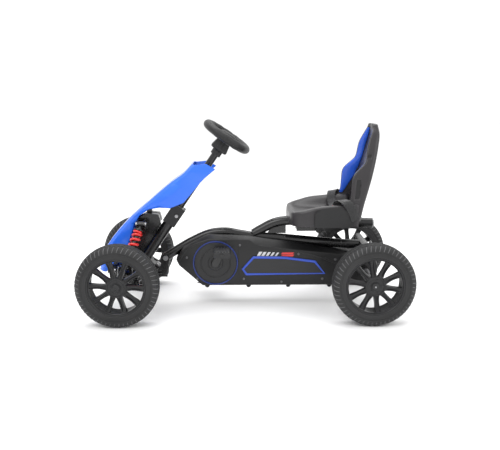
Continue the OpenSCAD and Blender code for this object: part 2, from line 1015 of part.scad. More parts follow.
// Dished pan with rounded front corners and a skirt, hollow below.
module seat_pan() {
    top = [
        [-133, 267], [-133, 300], [-146, 308], [-177, 316], [-211, 325], [-273, 332], [-336, 338], [-336, 267]
    ];
    under = [[-141, 260], [-141, 290], [-150, 297], [-180, 304], [-215, 312], [-329, 318], [-329, 260]];
    hollow = [
        [-110, 259], [110, 259], [110, 312], [98, 312], [72, 286.3], [-72, 286.3], [-98, 312], [-110, 312]
    ];
    difference() {
        intersection() {
            side_plate(top, -seat_half - 1, seat_half + 1);
            pan_plan(0);
        }
        cross_plate([[-60, 298], [60, 298], [100, 343], [-100, 343]], -350, -152);
        intersection() {
            side_plate(under, -seat_half, seat_half);
            cross_plate(hollow, -332, -140);
            pan_plan(8);
        }
        block(-345, -320, -32, 32, 240, 280);
        block(-150, -120, -32, 32, 240, 286);
    }
}

module seat_shell() {
    color(BLACK)
        union() {
            seat_pan();
            skin(
                [for (v = back_levels) back_ring(v)],
                [[0, 1, 8, 9], [1, 2, 3, 4, 7, 8], [4, 5, 6, 7]]
            );
        }
}

module seat_bolster_inserts() {
    color(BLUE)
        for (side = [LEFT, RIGHT])
            on_side(side)
                skin([for (i = [1:8]) lining_ring(back_levels[i], lining_depth[i - 1])], [[0, 1, 2, 3]]);
}

module seat_side_covers() {
    cover = [[-207, 270], [-208, 308], [-226, 321], [-280, 325], [-300, 312], [-322, 292], [-312, 270]];
    color(CHARCOAL)
        for (s = [LEFT, RIGHT])
            side_plate(cover, s == LEFT ? seat_half : -seat_half - 8, s == LEFT ? seat_half + 8 : -seat_half);
}

// Lap belt laid across the pan, over both bolsters and down to its outer anchors.
module seat_belt() {
    upper = [[131, 286], [131, 336], [123.5, 341], [90, 341], [56.5, 304]];
    lower = [[128, 286], [128, 334], [122, 338], [91.4, 338], [58, 301]];
    left = [for (i = [4:-1:0]) upper[i]];
    color([0.2, 0.2, 0.21])
        difference() {
            cross_plate(
                concat(
                    [for (p = upper) [-p[0], p[1]]], left,
                    lower, [for (i = [4:-1:0]) [-lower[i][0], lower[i][1]]]
                ),
                -297, -269
            );
            block(-305, -260, -24, 24, 290, 320);
        }
}

module belt_buckle() {
    color(BLACK)
        block(-301, -265, -24 + part_gap, 24 - part_gap, 300, 312);
}

// Steel channel that grips the seat rail, with the plates that the shell bolts to.
module seat_slider() {
    color(STEEL)
        difference() {
            union() {
                block(-300, -160, -20, 20, 236, 286);
                block(-300, -270, -70, 70, 282, 286);
                block(-190, -160, -70, 70, 282, 286);
            }
            block(-310, -150, -16, 16, 230, 282.5);
            y_rod(-230, 242, -30, 30, 4);
        }
}

module seat_clamp_knob() {
    color(BLACK)
        union() {
            y_rod(-230, 242, -26, 26, 4);
            y_rod(-230, 242, 20, 38, 12);
            y_rod(-230, 242, -26, -20, 8);
        }
}

main_tube();
rear_frame();
seat_rail();
rail_end_cap();
front_axle_beam();
steering_head();
column_bearing_block();
frame_bushes();
shock_tower();
frame_bolts();
nose_fairing();
chain_case(LEFT);  // chain_case_left
chain_case(RIGHT);  // chain_case_right
crank_covers();
crank_rings();
side_trims();
case_screws();
drive_chain();
bottom_bracket();
steering_column();
steering_wheel();
steering_hub();
horn_pad();
suspension_arm(LEFT);  // suspension_arm_left
suspension_arm(RIGHT);  // suspension_arm_right
knuckle(LEFT);  // knuckle_left
knuckle(RIGHT);  // knuckle_right
ball_stud(LEFT);  // ball_stud_left
ball_stud(RIGHT);  // ball_stud_right
tie_rod(LEFT);  // tie_rod_left
tie_rod(RIGHT);  // tie_rod_right
shock_body(LEFT);  // shock_body_left
shock_body(RIGHT);  // shock_body_right
shock_rod(LEFT);  // shock_rod_left
shock_rod(RIGHT);  // shock_rod_right
coil_spring(LEFT);  // coil_spring_left
coil_spring(RIGHT);  // coil_spring_right
front_tyre(LEFT);  // front_left_tyre
front_rim(LEFT);  // front_left_rim
front_cap(LEFT);  // front_left_cap
front_tyre(RIGHT);  // front_right_tyre
front_rim(RIGHT);  // front_right_rim
front_cap(RIGHT);  // front_right_cap
rear_tyre(LEFT);  // rear_left_tyre
rear_rim(LEFT);  // rear_left_rim
rear_cap(LEFT);  // rear_left_cap
rear_tyre(RIGHT);  // rear_right_tyre
rear_rim(RIGHT);  // rear_right_rim
rear_cap(RIGHT);  // rear_right_cap
rear_axle();
crankset();
pedal(LEFT);  // pedal_left
pedal(RIGHT);  // pedal_right
seat_shell();
seat_bolster_inserts();
seat_side_covers();
seat_belt();
belt_buckle();
seat_slider();
seat_clamp_knob();
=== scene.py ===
"""Looks of the pedal go kart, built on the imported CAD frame. Metres, +X forward, +Y left, +Z up."""
import json
import math

import bmesh
import bpy
from mathutils import Matrix, Vector


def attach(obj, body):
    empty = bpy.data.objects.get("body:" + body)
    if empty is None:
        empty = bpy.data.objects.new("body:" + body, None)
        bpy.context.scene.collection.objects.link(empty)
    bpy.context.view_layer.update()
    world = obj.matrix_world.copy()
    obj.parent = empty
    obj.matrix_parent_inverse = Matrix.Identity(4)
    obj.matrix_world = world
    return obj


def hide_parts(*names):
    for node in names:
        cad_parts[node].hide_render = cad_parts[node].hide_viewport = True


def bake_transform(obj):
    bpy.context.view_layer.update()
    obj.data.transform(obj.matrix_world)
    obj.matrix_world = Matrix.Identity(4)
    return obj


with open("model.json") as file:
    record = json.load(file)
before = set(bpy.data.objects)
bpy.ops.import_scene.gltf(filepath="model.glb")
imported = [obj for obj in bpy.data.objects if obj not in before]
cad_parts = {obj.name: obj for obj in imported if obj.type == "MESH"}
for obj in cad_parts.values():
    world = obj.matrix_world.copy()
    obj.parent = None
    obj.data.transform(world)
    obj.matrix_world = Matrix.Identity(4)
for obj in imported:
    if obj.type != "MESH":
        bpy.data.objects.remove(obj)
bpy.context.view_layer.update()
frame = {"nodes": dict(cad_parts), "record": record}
TAU = 2 * math.pi

# ---------- driving dimensions, in metres ----------

WHEEL_R = 0.120
WHEEL_W = 0.066
AXLE_X = 0.3675
WHEEL_Y = 0.214
SPOKES = 10
TUBE_R = 0.014
RAIL_R = 0.015
COLUMN_TILT = math.radians(34.5)
COLUMN_TOP = Vector((0.055, 0, 0.528))
# The crank's axis, as (x, z).
CRANK = (0.093, 0.141)


# ---------- materials ----------

def noise(nodes, links, scale, detail=4.0, rough=0.55, coords=None):
    """A noise texture in object space."""
    tex = nodes.new("ShaderNodeTexNoise")
    tex.inputs["Scale"].default_value = scale
    tex.inputs["Detail"].default_value = detail
    tex.inputs["Roughness"].default_value = rough
    links.new(coords, tex.inputs["Vector"])
    return tex.outputs["Fac"]


def ramp(nodes, links, source, stops):
    """A colour ramp: stops are (place, colour) pairs."""
    node = nodes.new("ShaderNodeValToRGB")
    node.color_ramp.elements[0].position = stops[0][0]
    node.color_ramp.elements[0].color = (*stops[0][1], 1)
    node.color_ramp.elements[1].position = stops[-1][0]
    node.color_ramp.elements[1].color = (*stops[-1][1], 1)
    for place, colour in stops[1:-1]:
        node.color_ramp.elements.new(place).color = (*colour, 1)
    links.new(source, node.inputs["Fac"])
    return node.outputs["Color"]


def spread(nodes, links, source, low, high):
    """Maps 0..1 to low..high."""
    node = nodes.new("ShaderNodeMapRange")
    node.inputs["To Min"].default_value = low
    node.inputs["To Max"].default_value = high
    links.new(source, node.inputs["Value"])
    return node.outputs["Result"]


def scaled(colour, factor):
    return tuple(min(1.0, c * factor) for c in colour)


def surface(name, colour, rough, grain=900.0, bump=0.15, mottle=6.0, contrast=0.18, wear_and_glint=0.0,
            metallic=0.0, coat=0.0, specular=0.38, sheen=0.0, rough_spread=0.06, bump_distance=0.0004):
    """A moulded, painted or metal surface: mottled colour, fine grain bump, lighter convex edges: worn on
    most parts, a painted highlight on the tyre.
    """
    mat = bpy.data.materials.new(name)
    mat.use_nodes = True
    nodes, links = mat.node_tree.nodes, mat.node_tree.links
    bsdf = nodes["Principled BSDF"]
    coords = nodes.new("ShaderNodeTexCoord").outputs["Object"]
    cloud = noise(nodes, links, mottle, 5.0, 0.6, coords)
    base = ramp(nodes, links, cloud, [
        (0.3, scaled(colour, 1 - contrast)), (0.7, scaled(colour, 1 + contrast)),
    ])
    # Lighter convex edges: worn on most parts, a painted highlight on the tyre's tread edges.
    if wear_and_glint > 0:
        edge = nodes.new("ShaderNodeNewGeometry").outputs["Pointiness"]
        mask = nodes.new("ShaderNodeMapRange")
        mask.inputs["From Min"].default_value = 0.52
        mask.inputs["From Max"].default_value = 0.60
        mask.inputs["To Max"].default_value = wear_and_glint
        links.new(edge, mask.inputs["Value"])
        mix = nodes.new("ShaderNodeMix")
        mix.data_type = "RGBA"
        mix.inputs[7].default_value = (*scaled(colour, 2.2), 1)
        links.new(mask.outputs["Result"], mix.inputs[0])
        links.new(base, mix.inputs[6])
        base = mix.outputs[2]
    links.new(base, bsdf.inputs["Base Color"])
    smudge = noise(nodes, links, mottle * 7, 4.0, 0.6, coords)
    smudged = spread(nodes, links, smudge, rough - rough_spread, rough + rough_spread)
    links.new(smudged, bsdf.inputs["Roughness"])
    bsdf.inputs["Metallic"].default_value = metallic
    bsdf.inputs["Coat Weight"].default_value = coat
    bsdf.inputs["Coat Roughness"].default_value = 0.08
    bsdf.inputs["Specular IOR Level"].default_value = specular
    bsdf.inputs["Sheen Weight"].default_value = sheen
    if bump > 0:
        node = nodes.new("ShaderNodeBump")
        node.inputs["Strength"].default_value = bump
        node.inputs["Distance"].default_value = bump_distance
        links.new(noise(nodes, links, grain, 3.0, 0.5, coords), node.inputs["Height"])
        links.new(node.outputs["Normal"], bsdf.inputs["Normal"])
    return mat


def webbing(name, colour):
    """Woven polyester strap: fine herringbone ribs by two crossed waves."""
    mat = surface(name, colour, 0.85, bump=0, sheen=0.3, contrast=0.1, mottle=40)
    nodes, links = mat.node_tree.nodes, mat.node_tree.links
    bsdf = nodes["Principled BSDF"]
    coords = nodes.new("ShaderNodeTexCoord").outputs["UV"]
    waves = []
    for direction, scale in (("X", 18.0), ("Y", 60.0)):
        wave = nodes.new("ShaderNodeTexWave")
        wave.bands_direction = direction
        wave.inputs["Scale"].default_value = scale
        wave.inputs["Distortion"].default_value = 0.6
        links.new(coords, wave.inputs["Vector"])
        waves.append(wave.outputs["Fac"])
    joined = nodes.new("ShaderNodeMath")
    joined.operation = "MULTIPLY"
    links.new(waves[0], joined.inputs[0])
    links.new(waves[1], joined.inputs[1])
    node = nodes.new("ShaderNodeBump")
    node.inputs["Strength"].default_value = 0.7
    node.inputs["Distance"].default_value = 0.0006
    links.new(joined.outputs[0], node.inputs["Height"])
    links.new(node.outputs["Normal"], bsdf.inputs["Normal"])
    return mat


MATS = {
    "chassis_paint": surface("chassis_paint", (0.005, 0.005, 0.0055), 0.28, 500, 0.12, coat=0.25, wear_and_glint=0.25),
    "bare_steel": surface("bare_steel", (0.32, 0.32, 0.33), 0.32, 300, 0.2, metallic=1.0),
    "screw_steel": surface("screw_steel", (0.13, 0.13, 0.135), 0.4, 300, 0.2, metallic=1.0),
    "chain_steel": surface("chain_steel", (0.20, 0.19, 0.18), 0.4, 300, 0.2, metallic=1.0),
    "nylon": surface("nylon", (0.72, 0.72, 0.66), 0.5, 800, 0.1),
    "fairing_blue": surface("fairing_blue", (0.016, 0.125, 0.70), 0.24, 260, 0.06, contrast=0.06,
                            coat=0.35, wear_and_glint=0.10, rough_spread=0.03),
    "case_black": surface("case_black", (0.0065, 0.0065, 0.007), 0.38, 1300, 0.35, wear_and_glint=0.35),
    "cover_black": surface("cover_black", (0.012, 0.012, 0.013), 0.42, 1300, 0.35, wear_and_glint=0.3),
    "trim_blue": surface("trim_blue", (0.022, 0.105, 0.62), 0.30, 400, 0.08, contrast=0.08, coat=0.2),
    "trim_deep": surface("trim_deep", (0.020, 0.062, 0.42), 0.30, 400, 0.08, contrast=0.08, coat=0.2),
    "ring_navy": surface("ring_navy", (0.008, 0.024, 0.16), 0.32, 400, 0.08, contrast=0.08, coat=0.15),
    # The tyre's strong edge lightening is a painted highlight of its glinting tread edges.
    "tyre_eva": surface("tyre_eva", (0.014, 0.014, 0.0145), 0.62, 1500, 0.5, contrast=0.3, mottle=14,
                        wear_and_glint=0.8),
    "wheel_plastic": surface("wheel_plastic", (0.009, 0.009, 0.010), 0.36, 900, 0.2, wear_and_glint=0.35),
    "grip": surface("grip", (0.009, 0.009, 0.0095), 0.5, 1500, 0.55, contrast=0.15, wear_and_glint=0.2),
    "spring_red": surface("spring_red", (0.62, 0.018, 0.016), 0.28, 400, 0.06, contrast=0.1, coat=0.5),
    "seat_plastic": surface("seat_plastic", (0.023, 0.021, 0.023), 0.34, 1100, 0.45, contrast=0.12,
                            wear_and_glint=0.25),
    "seat_cover_plastic": surface("seat_cover_plastic", (0.007, 0.007, 0.0075), 0.45, 1100, 0.4, wear_and_glint=0.25),
    "stripe_grey": surface("stripe_grey", (0.50, 0.50, 0.52), 0.3, 400, 0.05, contrast=0.06, coat=0.3),
    "stripe_red": surface("stripe_red", (0.55, 0.02, 0.02), 0.3, 400, 0.05, contrast=0.06, coat=0.3),
    "webbing": webbing("webbing", (0.022, 0.022, 0.023)),
    # Lighter grey for the shoulder lugs: a painted highlight standing in for the glints on the tyre
    # shoulders.
    "tyre_edge": surface("tyre_edge", (0.085, 0.085, 0.088), 0.55, 1500, 0.4, contrast=0.25, mottle=60),
}


def dress_cad():
    """Gives every CAD node the material of its slot in the record."""
    slots = {s["node"]: s["material_slot"] for s in frame["record"]["subparts"]}
    for name, obj in frame["nodes"].items():
        mat = MATS[slots[name]]
        obj.data.materials.clear()
        obj.data.materials.append(mat)


dress_cad()


# ---------- camera, lights and floor ----------

def make_camera():
    """The view from the left side, a little above the seat."""
    yaw, pitch = math.radians(-1.063), math.radians(11.528)
    turn = Matrix.Rotation(yaw, 3, "Z")
    ahead, right, up = turn @ Vector((0, -1, 0)), turn @ Vector((-1, 0, 0)), Vector((0, 0, 1))
    look = math.cos(pitch) * ahead - math.sin(pitch) * up
    head = math.cos(pitch) * up + math.sin(pitch) * ahead
    cam = bpy.data.objects.new("camera", bpy.data.cameras.new("camera"))
    cam.data.lens = 47.128
    cam.data.sensor_width = 36
    cam.data.clip_end = 50
    axes = Matrix((right, head, -look)).transposed().to_4x4()
    cam.matrix_world = Matrix.Translation((0.0223, 2.019, 0.6636)) @ axes
    bpy.context.scene.collection.objects.link(cam)
    bpy.context.scene.camera = cam


def area_light(name, place, target, size, power):
    light = bpy.data.lights.new(name, "AREA")
    light.shape = "RECTANGLE"
    light.size, light.size_y = size
    light.energy = power
    obj = bpy.data.objects.new(name, light)
    obj.location = place
    obj.rotation_euler = (Vector(target) - Vector(place)).to_track_quat("-Z", "Y").to_euler()
    bpy.context.scene.collection.objects.link(obj)


def make_stage():
    """A white floor, lit softly from above and the front."""
    mesh = bpy.data.meshes.new("floor")
    bm = bmesh.new()
    bmesh.ops.create_grid(bm, x_segments=1, y_segments=1, size=14)
    bm.to_mesh(mesh)
    bm.free()
    floor = bpy.data.objects.new("floor", mesh)
    mat = bpy.data.materials.new("floor")
    mat.use_nodes = True
    bsdf = mat.node_tree.nodes["Principled BSDF"]
    bsdf.inputs["Base Color"].default_value = (0.93, 0.93, 0.93, 1)
    bsdf.inputs["Roughness"].default_value = 0.9
    bsdf.inputs["Specular IOR Level"].default_value = 0.1
    mesh.materials.append(mat)
    bpy.context.scene.collection.objects.link(floor)
    world = bpy.data.worlds.new("world")
    bpy.context.scene.world = world
    world.use_nodes = True
    world.node_tree.nodes["Background"].inputs["Color"].default_value = (1, 1, 1, 1)
    world.node_tree.nodes["Background"].inputs["Strength"].default_value = 1.12
    area_light("key", (1.2, 2.2, 2.8), (0, 0, 0.2), (2.2, 1.6), 44)
    area_light("fill", (-2.4, 1.6, 1.6), (0, 0, 0.3), (1.8, 1.8), 22)
    area_light("top", (0, -0.6, 2.6), (0, 0, 0.2), (2.6, 1.6), 40)
    bpy.context.scene.view_settings.view_transform = "Standard"


make_camera()
make_stage()


# ---------- mesh helpers ----------

def add(name, bm, body, mat, smooth=40, bevel=0.0, segments=2, replaces=()):
    """Turns a bmesh into a piece that rides on a body."""
    bmesh.ops.recalc_face_normals(bm, faces=bm.faces)
    mesh = bpy.data.meshes.new(name)
    bm.to_mesh(mesh)
    bm.free()
    obj = bpy.data.objects.new(name, mesh)
    bpy.context.scene.collection.objects.link(obj)
    mesh.materials.append(MATS[mat])
    if bevel:
        mod = obj.modifiers.new("bevel", "BEVEL")
        mod.width = bevel
        mod.segments = segments
        mod.limit_method = "ANGLE"
        mod.angle_limit = math.radians(35)
        mod.harden_normals = False
    bpy.context.view_layer.objects.active = obj
    obj.select_set(True)
    bpy.ops.object.shade_smooth_by_angle(angle=math.radians(smooth))
    obj.select_set(False)
    if body:
        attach(obj, body)
    if replaces:
        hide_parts(*replaces)
    return obj


def lathe(profile, segments, closed=True, shape=None):
    """Rings of (radius, y) points round the Y axis; shape(i, j, r) may change a radius."""
    bm = bmesh.new()
    rings = []
    for i in range(segments):
        a = TAU * i / segments
        ring = []
        for j, (r, y) in enumerate(profile):
            rr = shape(i, j, r) if shape else r
            ring.append(bm.verts.new((rr * math.cos(a), y, rr * math.sin(a))))
        rings.append(ring)
    last = len(profile) if closed else len(profile) - 1
    for i in range(segments):
        here, there = rings[i], rings[(i + 1) % segments]
        for j in range(last):
            k = (j + 1) % len(profile)
            bm.faces.new((here[j], here[k], there[k], there[j]))
    return bm


def sweep(path, section, closed=False, caps=True, up=(0, 1, 0)):
    """A section of (side, up) offsets carried along a path; section may be a function of 0..1."""
    bm = bmesh.new()
    count = len(path)
    points = [Vector(p) for p in path]
    rings = []
    side_ref = Vector(up)
    for i, p in enumerate(points):
        before = points[i - 1] if i or closed else p
        after = points[(i + 1) % count] if i < count - 1 or closed else p
        along = (after - before).normalized()
        normal = (side_ref - side_ref.dot(along) * along).normalized()
        side_ref = normal
        side = along.cross(normal)
        shape = section(i / max(1, count - 1)) if callable(section) else section
        rings.append([bm.verts.new(p + u * side + v * normal) for u, v in shape])
    size = len(rings[0])
    for i in range(count if closed else count - 1):
        here, there = rings[i], rings[(i + 1) % count]
        for j in range(size):
            k = (j + 1) % size
            bm.faces.new((here[j], here[k], there[k], there[j]))
    if caps and not closed:
        bm.faces.new(rings[0])
        bm.faces.new(list(reversed(rings[-1])))
    return bm


def round_section(radius, sides=20):
    return [(radius * math.cos(TAU * i / sides), radius * math.sin(TAU * i / sides)) for i in range(sides)]


def smooth_path(points, steps=8):
    """Catmull-Rom curve through the points."""
    pts = [Vector(p) for p in points]
    pts = [2 * pts[0] - pts[1]] + pts + [2 * pts[-1] - pts[-2]]
    out = []
    for i in range(1, len(pts) - 2):
        a, b, c, d = pts[i - 1:i + 3]
        for s in range(steps):
            t = s / steps
            out.append(0.5 * (2 * b + (c - a) * t + (2 * a - 5 * b + 4 * c - d) * t * t
                              + (3 * b - a - 3 * c + d) * t ** 3))
    out.append(pts[-2])
    return out


def prism(outline, y0, y1):
    """A side outline of (x, z) points, thickened from y0 to y1."""
    bm = bmesh.new()
    near = [bm.verts.new((x, y0, z)) for x, z in outline]
    far = [bm.verts.new((x, y1, z)) for x, z in outline]
    bm.faces.new(near)
    bm.faces.new(list(reversed(far)))
    for i in range(len(outline)):
        k = (i + 1) % len(outline)
        bm.faces.new((near[i], near[k], far[k], far[i]))
    return bm


def loft(rings, closed_ends=True, wrap=True):
    """Faces between rings that hold the same number of points."""
    bm = bmesh.new()
    rows = [[bm.verts.new(p) for p in ring] for ring in rings]
    size = len(rows[0])
    for here, there in zip(rows, rows[1:]):
        for j in range(size if wrap else size - 1):
            k = (j + 1) % size
            bm.faces.new((here[j], here[k], there[k], there[j]))
    if closed_ends:
        bm.faces.new(rows[0])
        bm.faces.new(list(reversed(rows[-1])))
    return bm


def join(bm, other):
    """Adds the faces of another bmesh and frees it."""
    mesh = bpy.data.meshes.new("part")
    other.to_mesh(mesh)
    other.free()
    bm.from_mesh(mesh)
    bpy.data.meshes.remove(mesh)
    return bm


def moved(bm, matrix):
    bmesh.ops.transform(bm, matrix=matrix, verts=bm.verts)
    return bm


def disc(radius, y0, y1, place=(0, 0, 0), sides=24, chamfer=0.0):
    """A short cylinder along Y, with a chamfer on its outer end."""
    profile = [(0.0002, y0), (radius, y0), (radius, y1 - chamfer), (radius - chamfer, y1), (0.0002, y1)]
    if not chamfer:
        profile.pop(2)
    return moved(lathe(profile, sides), Matrix.Translation(place))


def mm(points):
    """Points given in millimetres, as metres."""
    return [tuple(v / 1000 for v in p) for p in points]


def sides():
    """The left side, then the right."""
    return (("left", 1), ("right", -1))


def mirrored(side):
    return Matrix.Scale(side, 4, (0, 1, 0))


# ---------- wheels ----------

# Name, side, place along the kart, body, and the turn of the spokes in degrees.
WHEELS = [
    ("front_left", 1, AXLE_X, "front_left_wheel", 3),
    ("front_right", -1, AXLE_X, "front_right_wheel", 3),
    ("rear_left", 1, -AXLE_X, "rear_drive", 10),
    ("rear_right", -1, -AXLE_X, "rear_right_wheel", 10),
]
TREAD_STEPS = 4
TREAD_BLOCKS = 60
LUG_COUNT = 54
# A lug's rows: radius, distance from the tyre's middle, and lean in degrees.
LUG_ROWS = [(104.5, 33.2, 0), (108.5, 32.4, 0.5), (112.5, 30.4, 1.0), (116, 27, 1.5), (118.2, 22, 2.2)]
# A lug's section: turn from its middle in degrees, and height.
LUG_SECTION = [(-0.55, -1.2), (-0.45, 0.35), (0.45, 0.35), (0.55, -1.2)]


def tyre_profile():
    """Half section from the bead, round the sidewall step and shoulder, to the tread's middle."""
    half = WHEEL_W / 2
    side = mm([
        (84, 31), (86, 32.8), (90, 33), (97, 33), (98.5, 32), (100.5, 32), (102, 33), (106, 32.8),
        (110, 31.4), (113.5, 29), (116.3, 25.5), (117.8, 22.5), (118.6, 19.5), (119.1, 16.5),
        (119.4, 14), (118.0, 13), (118.0, 11), (119.6, 10), (120, 7), (120, 4), (118.6, 3), (118.6, 1),
    ])
    assert max(y for _, y in side) <= half
    return side + [(r, -y) for r, y in reversed(side)]


def tread(i, j, r):
    """Slanted grooves across each shoulder, and small sipes in the middle ribs."""
    count = len(tyre_profile())
    j = min(j, count - 1 - j)
    if 8 <= j <= 14 and (i + j) % TREAD_STEPS == 0:
        return r - (0.0026 if j > 9 else 0.0012)
    if 17 <= j <= 19 and (i + 2 * j) % (2 * TREAD_STEPS) == 0:
        return r - 0.0012
    return r


def tyre_mesh():
    return lathe(tyre_profile(), TREAD_STEPS * TREAD_BLOCKS, shape=tread)


def lug_mesh():
    """Slanted lugs round both shoulders, a little proud of the tyre."""
    bm = bmesh.new()
    for i in range(LUG_COUNT):
        for s in (1, -1):
            rows = []
            for r, y, lean in LUG_ROWS:
                a = TAU * (i + (0.5 if s < 0 else 0)) / LUG_COUNT + math.radians(lean)
                row = []
                for da, out in LUG_SECTION:
                    b = a + math.radians(da)
                    rr = r + out * (0.2 + 0.8 * (33 - y) / 11)
                    yy = s * (y + out * 0.5 * (1 - (33 - y) / 13) - 0.1)
                    row.append((rr * math.cos(b), yy, rr * math.sin(b)))
                rows.append(mm(row))
            join(bm, loft(rows))
    return bm


def spoke_mesh(angle):
    """One spoke: a tapered beam with a sunk channel down its outer face."""
    inner, outer = 0.025, 0.0800
    wall = 0.0024
    stations = []
    for s in range(7):
        t = s / 6
        r = inner + (outer - inner) * t
        half = 0.0085 - 0.0022 * math.sin(math.pi * min(1, t * 1.15)) - 0.0008 * t
        face = 0.0262 - 0.0035 * math.sin(math.pi * t) - 0.001 * t
        along = min(1, max(0, (t - 0.06) / 0.9))
        depth = 0.0045 * math.sin(math.pi * along) ** 0.4 if 0.06 < t < 0.96 else 0
        section = [
            (-half - 0.001, face - 0.013), (-half, face - 0.001), (-half + 0.001, face), (-half + wall, face),
            (-half + wall + 0.001, face - depth), (half - wall - 0.003, face - depth),
            (half - wall - 0.001, face), (half - 0.001, face), (half, face - 0.001),
            (half + 0.001, face - 0.013),
        ]
        stations.append([(r, y, w) for w, y in section])
    bm = loft(stations)
    return moved(bm, Matrix.Rotation(-angle, 4, "Y"))


def rim_mesh():
    """Barrel with a rolled lip, spokes, and the hub with five small bolts."""
    barrel = mm([
        (84, -31), (80.5, -31), (80.5, 12), (78, 17), (76.5, 23), (76.5, 27), (78.5, 28.2), (79.5, 30.5),
        (81, 31.8), (83, 31.8), (84, 31),
    ])
    bm = lathe(barrel, 120)
    for i in range(SPOKES):
        join(bm, spoke_mesh(TAU * i / SPOKES))
    hub = mm([
        (9, 27), (11, 27.6), (13.5, 27.6), (14.2, 26), (24, 25.5), (25, 27), (28, 27), (29.2, 25.6),
        (29.6, 13), (27, 9), (16.5, 8), (16, -29), (9, -29),
    ])
    join(bm, lathe(hub, 60))
    for i in range(5):
        a = TAU * (i / 5 + 0.05)
        place = (0.0192 * math.cos(a), 0, 0.0192 * math.sin(a))
        join(bm, disc(0.0034, 0.024, 0.0272, place, 6, 0.0006))
    return bm


def cap_mesh():
    profile = mm([
        (0.2, 30), (5, 31), (5.4, 32.6), (8, 32.4), (10.4, 31.4), (11.6, 29.5), (12, 27.4), (9.5, 27.2),
        (0.2, 27.2),
    ])
    return lathe(profile, 40)


def make_wheels():
    for name, side, x, body, phase in WHEELS:
        place = Matrix.Translation((x, side * WHEEL_Y, WHEEL_R)) @ mirrored(side)
        turn = place @ Matrix.Rotation(-math.radians(phase), 4, "Y")
        add(name + "_tyre_tread", moved(tyre_mesh(), place), body, "tyre_eva", smooth=28,
            replaces=(name + "_tyre",))
        # The lugs' lighter grey is a painted highlight of the shoulders' glints.
        add(name + "_shoulder_lugs", moved(lug_mesh(), place), body, "tyre_edge", smooth=28)
        add(name + "_rim_cast", moved(rim_mesh(), turn), body, "wheel_plastic", smooth=32,
            replaces=(name + "_rim",))
        add(name + "_cap_dome", moved(cap_mesh(), place), body, "cover_black", replaces=(name + "_cap",))


make_wheels()


# ---------- chassis tubes ----------

MAIN_PATH = mm([
    (258, 0, 146), (214, 0, 174), (168, 0, 201), (112, 0, 225.5), (62, 0, 231), (20, 0, 224), (-20, 0, 217),
])
SEAT_PATH = mm([(-26, 0, 224), (-53, 0, 240), (-91, 0, 259), (-133, 0, 266), (-200, 0, 264), (-400, 0, 258)])


def make_tubes():
    add("main_tube_bent", sweep(smooth_path(MAIN_PATH), round_section(TUBE_R, 24)), "chassis",
        "chassis_paint", replaces=("main_tube",))
    bm = sweep(smooth_path(SEAT_PATH), round_section(RAIL_R, 24), caps=False)
    brace = prism(mm([(-128, 252), (-128, 226), (-70, 226), (-84, 252)]), -0.004, 0.004)
    join(bm, brace)
    add("seat_rail_bent", bm, "chassis", "chassis_paint", bevel=0.0008, replaces=("seat_rail",))


make_tubes()


# ---------- nose fairing ----------

# Stations from the cowl at the top to the tip: the top edge, the middle of the side wall and
# the wall's lower edge, as (x, z).
NOSE = [
    ((160, 449), (118, 450), (91, 433)),
    ((187, 420), (152, 421), (121, 408)),
    ((199, 411), (166, 405), (137, 392)),
    ((224, 394), (190, 382), (158, 366)),
    ((262, 363), (226, 350), (188, 331)),
    ((294, 335), (262, 328), (229, 314)),
    ((316, 317), (290, 318), (262, 316)),
    ((334, 302), (316, 307), (295, 311)),
    ((350, 288), (338, 291), (324, 291)),
    ((370, 267), (356, 268), (340, 264)),
    ((392, 243), (374, 240), (351, 233)),
    ((410, 221), (389, 211), (363, 199)),
    ((428, 195), (406, 185), (379, 176)),
    ((440, 170), (420, 162), (396, 157)),
    ((448, 146), (434, 141), (414, 136)),
    ((453, 120), (444, 117), (432, 114)),
]


def nose_section(top, middle, low, flare):
    """Half section of the channel: crowned top, chamfered shoulder, then the side wall."""
    half = 50 + flare
    drop = Vector((top[0] - low[0], top[1] - low[1])).normalized() * 9
    shoulder = (top[0] - drop.x * 0.9, top[1] - drop.y * 0.9)
    return [
        (top[0] + 1.2, 0, top[1] + 1.2), (top[0] + 1, half * 0.4, top[1] + 1),
        (top[0] + 0.4, half - 14, top[1] + 0.3),
        (top[0], half - 10, top[1]), (shoulder[0], half - 1.5, shoulder[1]),
        (shoulder[0] - drop.x * 0.15, half, shoulder[1] - drop.y * 0.15),
        (middle[0], half + 1, middle[1]), (low[0] + 0.8, half, low[1] + 0.8), (low[0], half - 1.5, low[1]),
    ]


def make_fairing():
    bm = bmesh.new()
    rows = []
    last = len(NOSE) - 1
    for i, (top, middle, low) in enumerate(NOSE):
        flare = 2.5 * math.exp(-((i - 0.3) / 0.8) ** 2) - 3 * max(0, (i - 11) / (last - 11))
        half = nose_section(top, middle, low, flare)
        ring = [(x, -y, z) for x, y, z in reversed(half[1:])] + half
        rows.append([bm.verts.new(p) for p in mm(ring)])
    for here, there in zip(rows, rows[1:]):
        for j in range(len(here) - 1):
            bm.faces.new((here[j], here[j + 1], there[j + 1], there[j]))
    obj = add("nose_fairing_shell", bm, "chassis", "fairing_blue", smooth=24, replaces=("nose_fairing",))
    thick = obj.modifiers.new("thickness", "SOLIDIFY")
    thick.thickness = 0.003
    thick.offset = -1
    soft = obj.modifiers.new("rounding", "BEVEL")
    soft.width = 0.0012
    soft.segments = 2
    soft.limit_method = "ANGLE"
    soft.angle_limit = math.radians(50)


make_fairing()


# ---------- chain case ----------

# Paired outline points: on the raised middle of the case, and on its flat side below the bevel.
CASE_TOP = [
    ((216, 152), (215, 151)), ((191, 190), (188, 186)), ((165, 203), (161, 203)), ((116, 228), (114, 218)),
    ((47, 226), (46, 217)), ((-15, 222), (-14, 214)), ((-33, 220), (-31, 201)), ((-124, 207), (-120, 189)),
    ((-165, 200), (-163, 183)), ((-262, 182), (-262, 172)), ((-330, 168), (-330, 163)),
]
CASE_BASE = [((-300, 66), (-300, 68)), ((135, 66), (134, 68)), ((209, 133), (207, 134))]


CASE_TAIL_R = 50
CASE_BEVEL = 3


